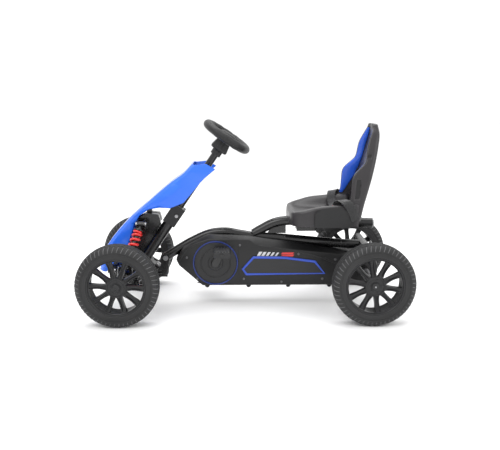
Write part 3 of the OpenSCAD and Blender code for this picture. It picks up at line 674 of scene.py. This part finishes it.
def case_rings():
    """The case's two outlines, with an arc round the rear axle between top and base."""
    high, low = [], []
    for a, b in CASE_TOP:
        high.append(a)
        low.append(b)
    for k in range(11):
        a = math.radians(110 + 14 * k)
        for outline, r in ((high, CASE_TAIL_R), (low, CASE_TAIL_R - CASE_BEVEL)):
            outline.append((r * math.cos(a) - AXLE_X * 1000, r * math.sin(a) + WHEEL_R * 1000))
    for a, b in CASE_BASE:
        high.append(a)
        low.append(b)
    return high, low


def shrunk(outline, amount):
    """Moves each point of a clockwise outline inwards along its corner's bisector."""
    out = []
    for i, p in enumerate(outline):
        a, b, c = Vector(outline[i - 1]), Vector(p), Vector(outline[(i + 1) % len(outline)])
        d = ((b - a).normalized() + (c - b).normalized()).normalized()
        out.append((b.x - d.y * amount, b.y + d.x * amount))
    return out


def make_case():
    high, low = case_rings()
    for name, side in sides():
        stack = [
            (high, 0.35), (high, 27), (shrunk(high, 1.2), 29.5), (low, 42.5), (shrunk(low, 1.6), 44.4),
            (shrunk(low, 4), 45),
        ]
        rings = [mm([(x, side * y, z) for x, z in ring]) for ring, y in stack]
        bm = loft(rings)
        for x in (120, -10, -135, -265):
            boss = lathe(mm([(0.2, 1), (7.5, 1), (7.5, 33), (6.8, 34), (4.4, 34), (4, 32), (0.2, 32)]), 24)
            join(bm, moved(boss, mirrored(side) @ Matrix.Translation((x / 1000, 0, 0.0655))))
        add(f"chain_case_{name}_shell", bm, "chassis", "case_black", smooth=30, bevel=0.0012,
            replaces=(f"chain_case_{name}",))


def raised_line(points, width, y0, height, side):
    """A low rib with a chamfered top that follows side points (x, z)."""
    section = mm([(-width / 2, 0), (-width / 2 + 0.6, height), (width / 2 - 0.6, height), (width / 2, 0)])
    path = [(x / 1000, side * y0 / 1000, z / 1000) for x, z in points]
    return sweep(path, section, up=(0, side, 0))


def make_case_details():
    for name, side in sides():
        bm = raised_line([(-165, 176), (-236, 158), (-288, 136)], 6, 44.7, 1.6, side)
        join(bm, raised_line([(-40, 196), (-110, 186), (-163, 178)], 4, 44.7, 1.2, side))
        join(bm, raised_line([(150, 79), (128, 73), (-262, 73), (-292, 79)], 3.5, 44.7, 1.2, side))
        join(bm, raised_line([(205, 147), (184, 180), (160, 196), (112, 210), (46, 209)], 3, 44.7, 1, side))
        join(bm, raised_line([(22, 205), (20, 76)], 1.6, 44.6, 0.8, side))
        add(f"case_ribs_{name}", bm, "chassis", "case_black", smooth=20)


def cover_mesh():
    """Round cover with stepped rings round a crank boss."""
    profile = mm([
        (14, 45), (14, 49.5), (17, 50), (22, 49.8), (24, 47.6), (43, 47.4), (44, 46.6), (46, 46.6),
        (47, 47.6), (62, 48), (65.6, 47), (65.8, 45),
    ])
    return lathe(profile, 96)


def make_covers():
    ring = mm([(66, 45), (66.2, 48.8), (67.2, 49.8), (68.8, 49.8), (69.8, 48.8), (70, 45)])
    for name, side in sides():
        place = Matrix.Translation((CRANK[0], 0, CRANK[1])) @ mirrored(side)
        add(f"crank_cover_{name}", moved(cover_mesh(), place), "chassis", "cover_black", smooth=30,
            replaces=("crank_covers",))
        add(f"crank_ring_{name}", moved(lathe(ring, 96), place), "chassis", "ring_navy",
            smooth=30, replaces=("crank_rings",))


make_case()
make_case_details()
make_covers()


# ---------- side trims and stripes ----------

TRIM_OUTER = [(4, 121), (-5, 108), (-243, 108), (-214, 141), (-123, 153), (-27, 155)]


def make_trims():
    for name, side in sides():
        levels = [(0, 44.8), (0, 48.6), (1.4, 50), (6.4, 50), (8.4, 47.4)]
        rings = [mm([(x, side * y, z) for x, z in shrunk(TRIM_OUTER, inset)]) for inset, y in levels]
        add(f"side_trim_{name}", loft(rings, closed_ends=False), "chassis", "trim_deep",
            smooth=25, bevel=0.0005, replaces=("side_trims",))
        panel = [mm([(x, side * y, z) for x, z in shrunk(TRIM_OUTER, inset)])
                 for inset, y in ((8.2, 44.8), (8.2, 47.4), (9.2, 48.1))]
        add(f"side_panel_{name}", loft(panel), "chassis", "cover_black", smooth=25)


def stripe(x0, x1, z0, z1, lean, y, side):
    """One slanted patch of film, a fraction of a millimetre proud of the case."""
    outline = [(x0, z0), (x1, z0), (x1 - lean, z1), (x0 - lean, z1)]
    return prism(mm(outline), side * y / 1000, side * (y + 0.25) / 1000)


def make_stripes():
    """Plain speed stripes: light bars that fade in width, then a red block."""
    for name, side in sides():
        light, red = bmesh.new(), bmesh.new()
        for k in range(5):
            join(light, stripe(-44 - 13 * k, -34 - 13 * k - k, 160.5, 176 - 0.7 * k, 9, 45, side))
        for k in range(2):
            join(red, stripe(-148 + 0.5 * k, -111, 160.5 + 7.5 * k, 166.8 + 6.5 * k, 4, 45, side))
        add(f"stripe_light_{name}", light, "chassis", "stripe_grey", smooth=10)
        add(f"stripe_red_{name}", red, "chassis", "stripe_red", smooth=10)


def make_screws():
    spots = [(17, 197), (5, 89), (-113, 79), (-241, 88), (-165, 168), (150, 90), (182, 158), (-280, 150)]
    head = mm([(0.2, 44.7), (4, 44.7), (4, 45.6), (3, 46.6), (1.8, 46.7), (1.6, 45.6), (0.2, 45.6)])
    for name, side in sides():
        bm = bmesh.new()
        for x, z in spots:
            join(bm, moved(lathe(head, 20), Matrix.Translation((x / 1000, 0, z / 1000)) @ mirrored(side)))
        add(f"case_screws_{name}", bm, "chassis", "screw_steel", replaces=("case_screws",))


make_trims()
make_stripes()
make_screws()


# ---------- steering wheel ----------

def on_column():
    """The column's own frame: +Z runs down the column, +X towards the rider."""
    return Matrix.Translation(COLUMN_TOP) @ Matrix.Rotation(math.pi - COLUMN_TILT, 4, "Y")


def grip_path():
    """A rounded D, flatter on the rider's side, in the wheel's plane."""
    points = []
    for k in range(96):
        a = TAU * k / 96
        c, s = math.cos(a), math.sin(a)
        x = 0.070 * math.copysign(abs(c) ** 0.82, c)
        if x > 0:
            x *= 0.97
        y = 0.100 * math.copysign(abs(s) ** 0.86, s)
        points.append((x, y, 0))
    return points


def grip_section(t):
    """Round grip, a little fatter at the hands, with finger swells underneath."""
    a = TAU * t
    hands = abs(math.sin(a)) ** 4
    swell = 0.0006 * math.cos(a * 16) * hands
    r = 0.0126 + 0.0004 * hands + swell
    return [((r + 0.0004) * math.cos(TAU * i / 24), r * math.sin(TAU * i / 24)) for i in range(24)]


def wheel_spoke(angle, reach, width):
    """A spoke that dishes from the hub up to the rim, with a raised middle."""
    stations = []
    for s in range(9):
        t = s / 8
        r = 0.018 + (reach - 0.018) * t
        half = width * (0.5 + 0.22 * (2 * t - 1) ** 2)
        base = 0.009 - 0.006 * t
        under, over = base - 0.0095, base + 0.0048
        section = [
            (-half, base - 0.006), (-half * 0.6, under), (half * 0.6, under), (half, base - 0.006),
            (half, base + 0.003), (half * 0.5, over), (-half * 0.5, over), (-half, base + 0.003),
        ]
        stations.append([(r, w, z) for w, z in section])
    return moved(loft(stations), Matrix.Rotation(angle, 4, "Z"))


def make_steering_wheel():
    place = on_column()
    rim = sweep(grip_path(), grip_section, closed=True, up=(0, 0, 1))
    add("steering_grip", moved(rim, place), "steering", "grip", smooth=60, replaces=("steering_wheel",))
    bm = wheel_spoke(math.pi / 2, 0.094, 0.030)
    join(bm, wheel_spoke(-math.pi / 2, 0.094, 0.030))
    join(bm, wheel_spoke(0, 0.060, 0.026))
    plate = moved(lathe(mm([(0.2, -6), (30, -6), (36, -3), (37, 3), (34, 10), (24, 13), (0.2, 13)]), 48),
                  Matrix.Rotation(math.pi / 2, 4, "X"))
    join(bm, plate)
    add("steering_spokes", moved(bm, place), "steering", "cover_black", bevel=0.0012)
    pad = lathe(mm([(0.2, 13.5), (10, 13.2), (20, 12), (25.5, 9.5), (27, 6.5), (27, 5), (0.2, 5)]), 48)
    add("horn_pad_dome", moved(pad, place @ Matrix.Rotation(-math.pi / 2, 4, "X")), "steering", "grip",
        replaces=("horn_pad",))


# The hub's rings: distance down the column, half length, half width and corner radius.
HUB_RINGS = [
    (8, 20, 24, 5), (14, 21, 25, 5), (44, 27, 27, 5), (48, 25, 25, 6), (51, 16, 17, 8), (66, 16, 17, 8),
]


def make_hub():
    """Socket under the wheel: a ribbed box that narrows onto a clamp collar."""
    rings = []
    for z, a, b, corner in HUB_RINGS:
        ring = []
        for sx, sy, start in ((1, 1, 0), (-1, 1, 90), (-1, -1, 180), (1, -1, 270)):
            for k in range(5):
                t = math.radians(start + 22.5 * k)
                x = sx * (a - corner) + corner * math.cos(t)
                y = sy * (b - corner) + corner * math.sin(t)
                ring.append((x, y, z))
        rings.append(mm(ring))
    bm = loft(rings)
    for s in (1, -1):
        for x in (-9, 0, 9):
            rib = prism(mm([(x - 1.5, 16), (x + 1.5, 16), (x + 1.5, 43), (x - 1.5, 43)]), 0.024, 0.0285)
            join(bm, moved(rib, mirrored(s)))
    for s in (1, -1):
        nut = disc(0.0055, 0.016, 0.0205, (0, 0, 0), 6, 0.0008)
        join(bm, moved(nut, mirrored(s) @ Matrix.Translation((0, 0, 0.055))))
    add("steering_hub_socket", moved(bm, on_column()), "steering", "cover_black", smooth=35, bevel=0.0008,
        replaces=("steering_hub",))


make_steering_wheel()
make_hub()


# ---------- coil springs ----------

SHOCK_TOP = Vector((0.318, 0.0595, 0.267))
SHOCK_LOW = Vector((0.360, 0.1165, 0.1515))
SPRING_START, SPRING_END = 0.0225, 0.1075
COIL_R, WIRE_R, COIL_TURNS = 0.0120, 0.0040, 5


def shock_frame(side):
    """Points down the shock's axis from its top eye."""
    along = SHOCK_LOW - SHOCK_TOP
    turn = along.to_track_quat("Z", "Y").to_matrix().to_4x4()
    return mirrored(side) @ Matrix.Translation(SHOCK_TOP) @ turn


def spring_mesh():
    """Round wire on a helix with closed, flattened end turns."""
    count = 26 * (COIL_TURNS + 1)
    points = []
    low, high = SPRING_START + WIRE_R, SPRING_END - WIRE_R
    for i in range(count + 1):
        turn = (COIL_TURNS + 1) * i / count
        rise = min(1, max(0, (turn - 0.5) / COIL_TURNS))
        rise = rise - 0.035 * math.sin(TAU * rise) / TAU * 2
        a = TAU * turn
        points.append((COIL_R * math.cos(a), COIL_R * math.sin(a), low + (high - low) * rise))
    return sweep(points, round_section(WIRE_R, 12), up=(0, 0, 1))


def make_springs():
    for name, side in sides():
        place = shock_frame(side)
        body = add(f"coil_spring_{name}_wire", moved(spring_mesh(), place), None, "spring_red", smooth=60,
                   replaces=(f"coil_spring_{name}",))
        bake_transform(body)


make_springs()


# ---------- seat ----------

# From the pan up: height, front edge of the wings, half width, rear face, depth of the blue lining.
BACK = [
    (282, -303, 116, -343, 8), (340, -309, 114, -356, 12), (357, -313, 112, -361, 18),
    (408, -316, 107, -375, 42), (420, -320, 105, -378, 43), (463, -357, 92, -389, 19.5),
    (503, -363, 80, -397, 21), (542, -378, 60, -403, 12), (554, -383, 50, -402, 6),
    (567, -386, 40, -400, 3),
]
PAN_PLAN = [(-336, 118), (-200, 118), (-170, 114), (-150, 103), (-138, 86), (-133, 62)]
PAN_SIDE = [(-336, 338), (-273, 332), (-211, 325), (-177, 316), (-146, 308), (-133, 300)]
PAN_LOW = 267
# Recesses in the wings' outer faces, and the dark plates at their bottom that paint the shade in them:
# rear and front edge at the foot, foot, head, and how far they lean back for each step up.
RECESSES = [(-374, -361, 468, 483, -0.1), (-339, -322, 348, 410, -0.09)]
RECESS_SHADE_PLATES = {"upper": (-372, -363, 470, 481, -0.1), "lower": (-337, -324, 351, 407, -0.09)}
# A lining's section: share of its depth, and height above the wing.
LINING_SECTION = [
    (0, -1), (0, 1.2), (0.05, 2.6), (0.2, 3.6), (0.5, 4.2), (0.8, 3.6), (0.95, 2.4), (1, 1), (1, -1),
]


def eased(table, x, column=1):
    """Smooth value between the rows of a table, with no overshoot."""
    rows = sorted((row[0], row[column]) for row in table)
    x = min(max(x, rows[0][0]), rows[-1][0])
    steps = [(q[1] - p[1]) / (q[0] - p[0]) for p, q in zip(rows, rows[1:])]
    slopes = [steps[0]]
    for a, b in zip(steps, steps[1:]):
        slopes.append(0 if a * b <= 0 else 2 * a * b / (a + b))
    slopes.append(steps[-1])
    for i, (p, q) in enumerate(zip(rows, rows[1:])):
        if x <= q[0]:
            w = q[0] - p[0]
            t = (x - p[0]) / w
            return (p[1] * (1 + 2 * t) * (1 - t) ** 2 + slopes[i] * w * t * (1 - t) ** 2
                    + q[1] * t * t * (3 - 2 * t) + slopes[i + 1] * w * t * t * (t - 1))
    return rows[-1][1]


def pan_height(x, y, half):
    """Pan surface: dished middle with a welt, raised front lip, and bolsters that rise at the sides."""
    middle = 299 + 9 * math.exp(-((x + 143) / 14) ** 2) - 1.5 * math.exp(-((x + 265) / 60) ** 2)
    start = min(56, half - 34)
    ease = min(1, max(0, (abs(y) - start) / max(24, half - 18 - start)))
    ease = ease * ease * (3 - 2 * ease)
    welt = 1.5 * math.exp(-((abs(y) - start + 3) / 2.5) ** 2) * min(1, (-x - 140) / 20)
    return middle + (max(middle, eased(PAN_SIDE, x)) - middle) * ease - max(0, welt)


def make_pan():
    """Top grid with a rounded edge, then a skirt down to the lower rim with a rolled hem."""
    rounded = [-133, -133.4, -134.5, -136.2, -138.5, -141.5, -145, -149]
    xs = rounded + [-154 - 6 * k for k in range(30)] + [-336]
    bm = bmesh.new()
    grid = []
    for x in xs:
        half = eased(PAN_PLAN, x)
        edge = [0, 0.4, 1.4, 3, 5, 7.5, 10.5, 14]
        ys = [-half + d for d in edge] + [(half - 14) * (-1 + 2 * k / 46) for k in range(1, 46)]
        ys += [half - d for d in reversed(edge)]
        row = []
        for y in ys:
            side = max(0.0, 1 - (half - abs(y)) / 8)
            front = max(0.0, 1 - (-x - 133) / 10)
            side_drop = 8 * (1 - math.sqrt(max(0.0, 1 - side ** 2)))
            front_drop = 9 * (1 - math.sqrt(max(0.0, 1 - front ** 2)))
            z = pan_height(x, y, half) - (side_drop + front_drop)
            row.append(bm.verts.new((x / 1000, y / 1000, z / 1000)))
        grid.append(row)
    for a, b in zip(grid, grid[1:]):
        for j in range(len(a) - 1):
            bm.faces.new((a[j], a[j + 1], b[j + 1], b[j]))
    outline = [row[0] for row in reversed(grid)] + grid[0][1:] + [row[-1] for row in grid[1:]]
    above = outline
    for z, tuck in ((PAN_LOW + 5, 0), (PAN_LOW + 1, 0.0004), (PAN_LOW, 0.002)):
        below = []
        for v in outline:
            y = v.co.y - math.copysign(tuck, v.co.y)
            below.append(bm.verts.new((v.co.x - (tuck if v.co.x > -0.15 else 0), y, z / 1000)))
        for i in range(len(outline) - 1):
            bm.faces.new((above[i], above[i + 1], below[i + 1], below[i]))
        above = below
    obj = add("seat_pan_shell", bm, "seat", "seat_plastic", smooth=45, replaces=("seat_shell",))
    thick = obj.modifiers.new("thickness", "SOLIDIFY")
    thick.thickness = 0.003
    thick.offset = -1


def recess_depth(x, z):
    """How far the wing's outer face sinks at the upper and lower recess."""
    sunk = 0
    for x0, x1, z0, z1, lean in RECESSES:
        shift = lean * (z - z0)
        inside = min(x - x0 - shift, x1 + shift - x, z - z0, z1 - z)
        sunk = max(sunk, 3.2 * min(1, max(0, inside / 1.6)))
    return sunk


def back_section(z):
    """Section of the bucket: left wing's outer face, the rear, the right wing, then the hollow."""
    front, half, rear = (eased(BACK, z, c) for c in (1, 2, 3))
    inner = rear + 12
    left = [
        (front - 0.6, half - 6.6), (front, half - 4.4), (front - 0.8, half - 1.8), (front - 3, half - 0.4),
    ]
    count = 16
    for k in range(count + 1):
        x = front - 4.5 + (rear + 13 - front + 4.5) * k / count
        left.append((x, half - recess_depth(x, z)))
    left += [(rear + 8, half - 1), (rear + 4, half - 3.4), (rear + 1.2, half - 7), (rear, half - 12)]
    spine = []
    for k in range(1, 16):
        y = (half - 12) * (1 - 2 * k / 16)
        groove = 2.2 * math.exp(-((abs(y) - half * 0.45) / 3.2) ** 2) if 300 < z < 545 else 0
        spine.append((rear + groove, y))
    hollow = []
    depth = front - inner
    for t in (0.08, 0.3, 0.55, 0.8, 0.93):
        hollow.append((front - 1.6 - (depth - 1.6) * t, half - 9 - 8 * t))
    lining = []
    for k in range(17):
        y = (half - 17) * (1 - 2 * k / 16)
        seam = 1.6 * math.exp(-((abs(y) - half * 0.42) / 2.6) ** 2)
        lining.append((inner + 2.2 * math.cos(math.pi * y / (2 * half)) ** 2 - seam, y))
    right = [(x, -y) for x, y in reversed(left)]
    inside = [(x, -y) for x, y in hollow] + list(reversed(lining)) + list(reversed(hollow))
    ring = left + spine + right + inside
    return [(x, y, z) for x, y in ring]


def make_back():
    """Blow-moulded bucket back: both wings, the grooved rear and a rounded head."""
    levels = [284 + 4 * k for k in range(69)] + [558.5, 561]
    rings = [back_section(z) for z in levels]
    base = rings[-1]
    cx = sum(p[0] for p in base) / len(base)
    for shrink, z in ((0.97, 563.5), (0.91, 565.6), (0.80, 566.9), (0.60, 567.4)):
        rings.append([(cx + (x - cx) * shrink, y * shrink, z) for x, y, _ in base])
    add("seat_back_shell", loft([mm(r) for r in rings]), "seat", "seat_plastic", smooth=50,
        replaces=("seat_shell",))


def make_recess_shade():
    """Dark plates at the bottom of the wings' recesses: painted shade in the recesses."""
    for name, side in sides():
        for spot, (x0, x1, z0, z1, lean) in RECESS_SHADE_PLATES.items():
            rings = []
            for k in range(9):
                z = z0 + (z1 - z0) * k / 8
                shift = lean * (z - z0)
                y = eased(BACK, z, 2) - 2.6
                rings.append([
                    (x0 + shift, side * y, z), (x1 + shift, side * y, z),
                    (x1 + shift, side * (y - 2), z), (x0 + shift, side * (y - 2), z),
                ])
            add(f"seat_recess_{spot}_{name}", loft([mm(r) for r in rings]), "seat", "seat_cover_plastic",
                bevel=0.0006)


def make_linings():
    """Blue moulded linings, gently crowned, on the wings' inner faces."""
    for name, side in sides():
        rings = []
        for k in range(57):
            z = 340 + 214 * k / 56
            front, half, rear, depth = (eased(BACK, z, c) for c in (1, 2, 3, 4))
            slope = 8 / (front - rear - 12)
            end = min(1, 6 * k / 56, 6 * (56 - k) / 56) ** 0.5
            ring = []
            for t, lift in LINING_SECTION:
                behind = 1.2 + (depth - 1.2) * t
                y = half - 9 - slope * behind - (lift * (0.4 + 0.6 * end) if lift > 0 else lift)
                ring.append((front - behind, side * y, z))
            rings.append(ring)
        add(f"seat_lining_{name}", loft([mm(r) for r in rings]), "seat", "trim_blue", smooth=50,
            replaces=("seat_bolster_inserts",))


def make_side_covers():
    outline = [(-312, 270), (-322, 292), (-300, 312), (-280, 325), (-226, 321), (-208, 308), (-207, 270)]
    levels = [(0, 118), (0, 123), (1.5, 125.5), (4, 126)]
    for name, side in sides():
        rings = [mm([(x, side * y, z) for x, z in shrunk(outline, inset)]) for inset, y in levels]
        add(f"seat_side_cover_{name}", loft(rings), "seat", "seat_cover_plastic", smooth=30,
            replaces=("seat_side_covers",))


make_pan()
make_back()
make_recess_shade()
make_linings()
make_side_covers()


# ---------- lap belt ----------

def strap(path, width, thick, name, side_dir):
    """Flat webbing along a path: rounded edges, with UVs that run along the strap for its weave."""
    pts = smooth_path(path, 10)
    half, t = width / 2, thick / 2
    section = [
        (-half, -t * 0.4), (-half + t, -t), (half - t, -t), (half, -t * 0.4),
        (half, t * 0.4), (half - t, t), (-half + t, t), (-half, t * 0.4),
    ]
    bm = bmesh.new()
    uv = bm.loops.layers.uv.new("UVMap")
    rings, run = [], [0.0]
    for a, b in zip(pts, pts[1:]):
        run.append(run[-1] + (b - a).length)
    for i, p in enumerate(pts):
        along = (pts[min(i + 1, len(pts) - 1)] - pts[max(i - 1, 0)]).normalized()
        across = Vector(side_dir(i / (len(pts) - 1)))
        across = (across - across.dot(along) * along).normalized()
        normal = along.cross(across)
        rings.append([bm.verts.new(p + u * across + v * normal) for u, v in section])
    for i in range(len(rings) - 1):
        for j in range(len(section)):
            k = (j + 1) % len(section)
            face = bm.faces.new((rings[i][j], rings[i][k], rings[i + 1][k], rings[i + 1][j]))
            for loop, (du, n) in zip(face.loops, ((j, i), (k, i), (k, i + 1), (j, i + 1))):
                loop[uv].uv = (section[du][0] / width + 0.5, run[n] / width)
    bm.faces.new(rings[0])
    bm.faces.new(list(reversed(rings[-1])))
    return add(name, bm, "seat", "webbing", smooth=50)


def box_ring(x0, x1, half, inset, z):
    """A level rectangle, drawn in from its edges."""
    x0, x1, half = x0 + inset, x1 - inset, half - inset
    return mm([(x0, -half, z), (x1, -half, z), (x1, half, z), (x0, half, z)])


def make_belt():
    """Two straps from the outer anchors, over the bolsters and down to the buckle on the pan."""
    for name, side in sides():
        path = mm([
            (-326, side * 128.5, 290), (-320, side * 129.5, 306), (-309, side * 129.5, 328),
            (-298, side * 124, 342.5), (-290, side * 108, 346), (-284, side * 92, 345),
            (-279, side * 76, 336), (-278, side * 60, 322), (-280, side * 42, 311),
            (-283, side * 20, 307.5),
        ])
        piece = strap(path, 0.026, 0.0016, f"belt_strap_{name}", lambda t: (1, 0, -0.9 * (1 - t) ** 3))
        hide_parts("seat_belt")
        outline = mm([(-296, 303), (-270, 303), (-270, 305.2), (-296, 305.2)])
        tongue = prism(outline, side * 0.018, side * 0.034)
        add(f"belt_tongue_{name}", tongue, "seat", "bare_steel", bevel=0.0006)
    body_levels = [(2, 300.5), (0, 302), (0, 309), (1.5, 311), (5, 312)]
    body = loft([box_ring(-301, -265, 23, inset, z) for inset, z in body_levels])
    add("belt_buckle_body", body, "seat", "cover_black", bevel=0.0025, segments=3,
        replaces=("belt_buckle",))
    button_levels = [(0, 311), (0, 312.6), (1, 313.4)]
    button = loft([box_ring(-292, -274, 9, inset, z) for inset, z in button_levels])
    add("belt_release_button", button, "seat", "spring_red", bevel=0.0008)


def knob_lobes(i, j, r):
    """Radius of the knob with its six finger hollows, which start above its foot."""
    return r * (1 - 0.10 * (0.5 + 0.5 * math.cos(i * TAU / 10)) ** 3 * (j > 1))


def make_knob():
    """Clamp knob under the seat: a lobed grip on a stud."""
    profile = mm([(0.2, 20), (9, 20), (11, 22), (11.5, 26), (11.5, 34), (10, 37), (6, 38), (0.2, 38)])
    bm = lathe(profile, 60, shape=knob_lobes)
    join(bm, disc(0.004, -0.026, 0.022, sides=20))
    join(bm, disc(0.008, -0.026, -0.0203, sides=6))
    place = Matrix.Translation((-0.230, 0, 0.242))
    add("seat_clamp_star", moved(bm, place), "seat", "cover_black", replaces=("seat_clamp_knob",))


def make_seat_bolts():
    """Heads of the bolts that hold the shell to its slider plates, under the pan's rim."""
    bm = bmesh.new()
    upright = Matrix.Rotation(-math.pi / 2, 4, "X")
    turned_over = Matrix.Rotation(math.pi, 4, "X")
    for x in (-175, -285):
        for y in (-58, 58):
            head = moved(disc(0.0065, 0, 0.005, sides=6, chamfer=0.0008), upright)
            join(bm, moved(head, Matrix.Translation((x / 1000, y / 1000, 0.282)) @ turned_over))
    add("seat_bolt_heads", bm, "seat", "bare_steel")


make_belt()
make_knob()
make_seat_bolts()


# ---------- pedals ----------

CRANK_LEN = 0.050
CRANK_ANGLE = math.radians(116)


def make_pedals():
    """Moulded pedal blocks with rows of grip bars on both faces."""
    for name, side in sides():
        cx = CRANK[0] + side * CRANK_LEN * math.cos(CRANK_ANGLE)
        cz = CRANK[1] + side * CRANK_LEN * math.sin(CRANK_ANGLE)
        outline = mm([(-26, 4), (-22, 9), (22, 9), (26, 4), (26, -4), (22, -9), (-22, -9), (-26, -4)])
        bm = prism(outline, -0.034, 0.034)
        for face in (1, -1):
            for k in range(5):
                x = 9 * k - 18
                rib = mm([(x, 8.5), (x + 4, 8.5), (x + 3.4, 11.5), (x + 0.6, 11.5)])
                bar = prism(rib, -0.031, 0.031)
                join(bm, moved(bar, Matrix.Scale(face, 4, (0, 0, 1))))
        add(f"pedal_{name}_block", moved(bm, Matrix.Translation((cx, side * 0.099, cz))), f"{name}_pedal",
            "cover_black", bevel=0.001, replaces=(f"pedal_{name}",))


make_pedals()
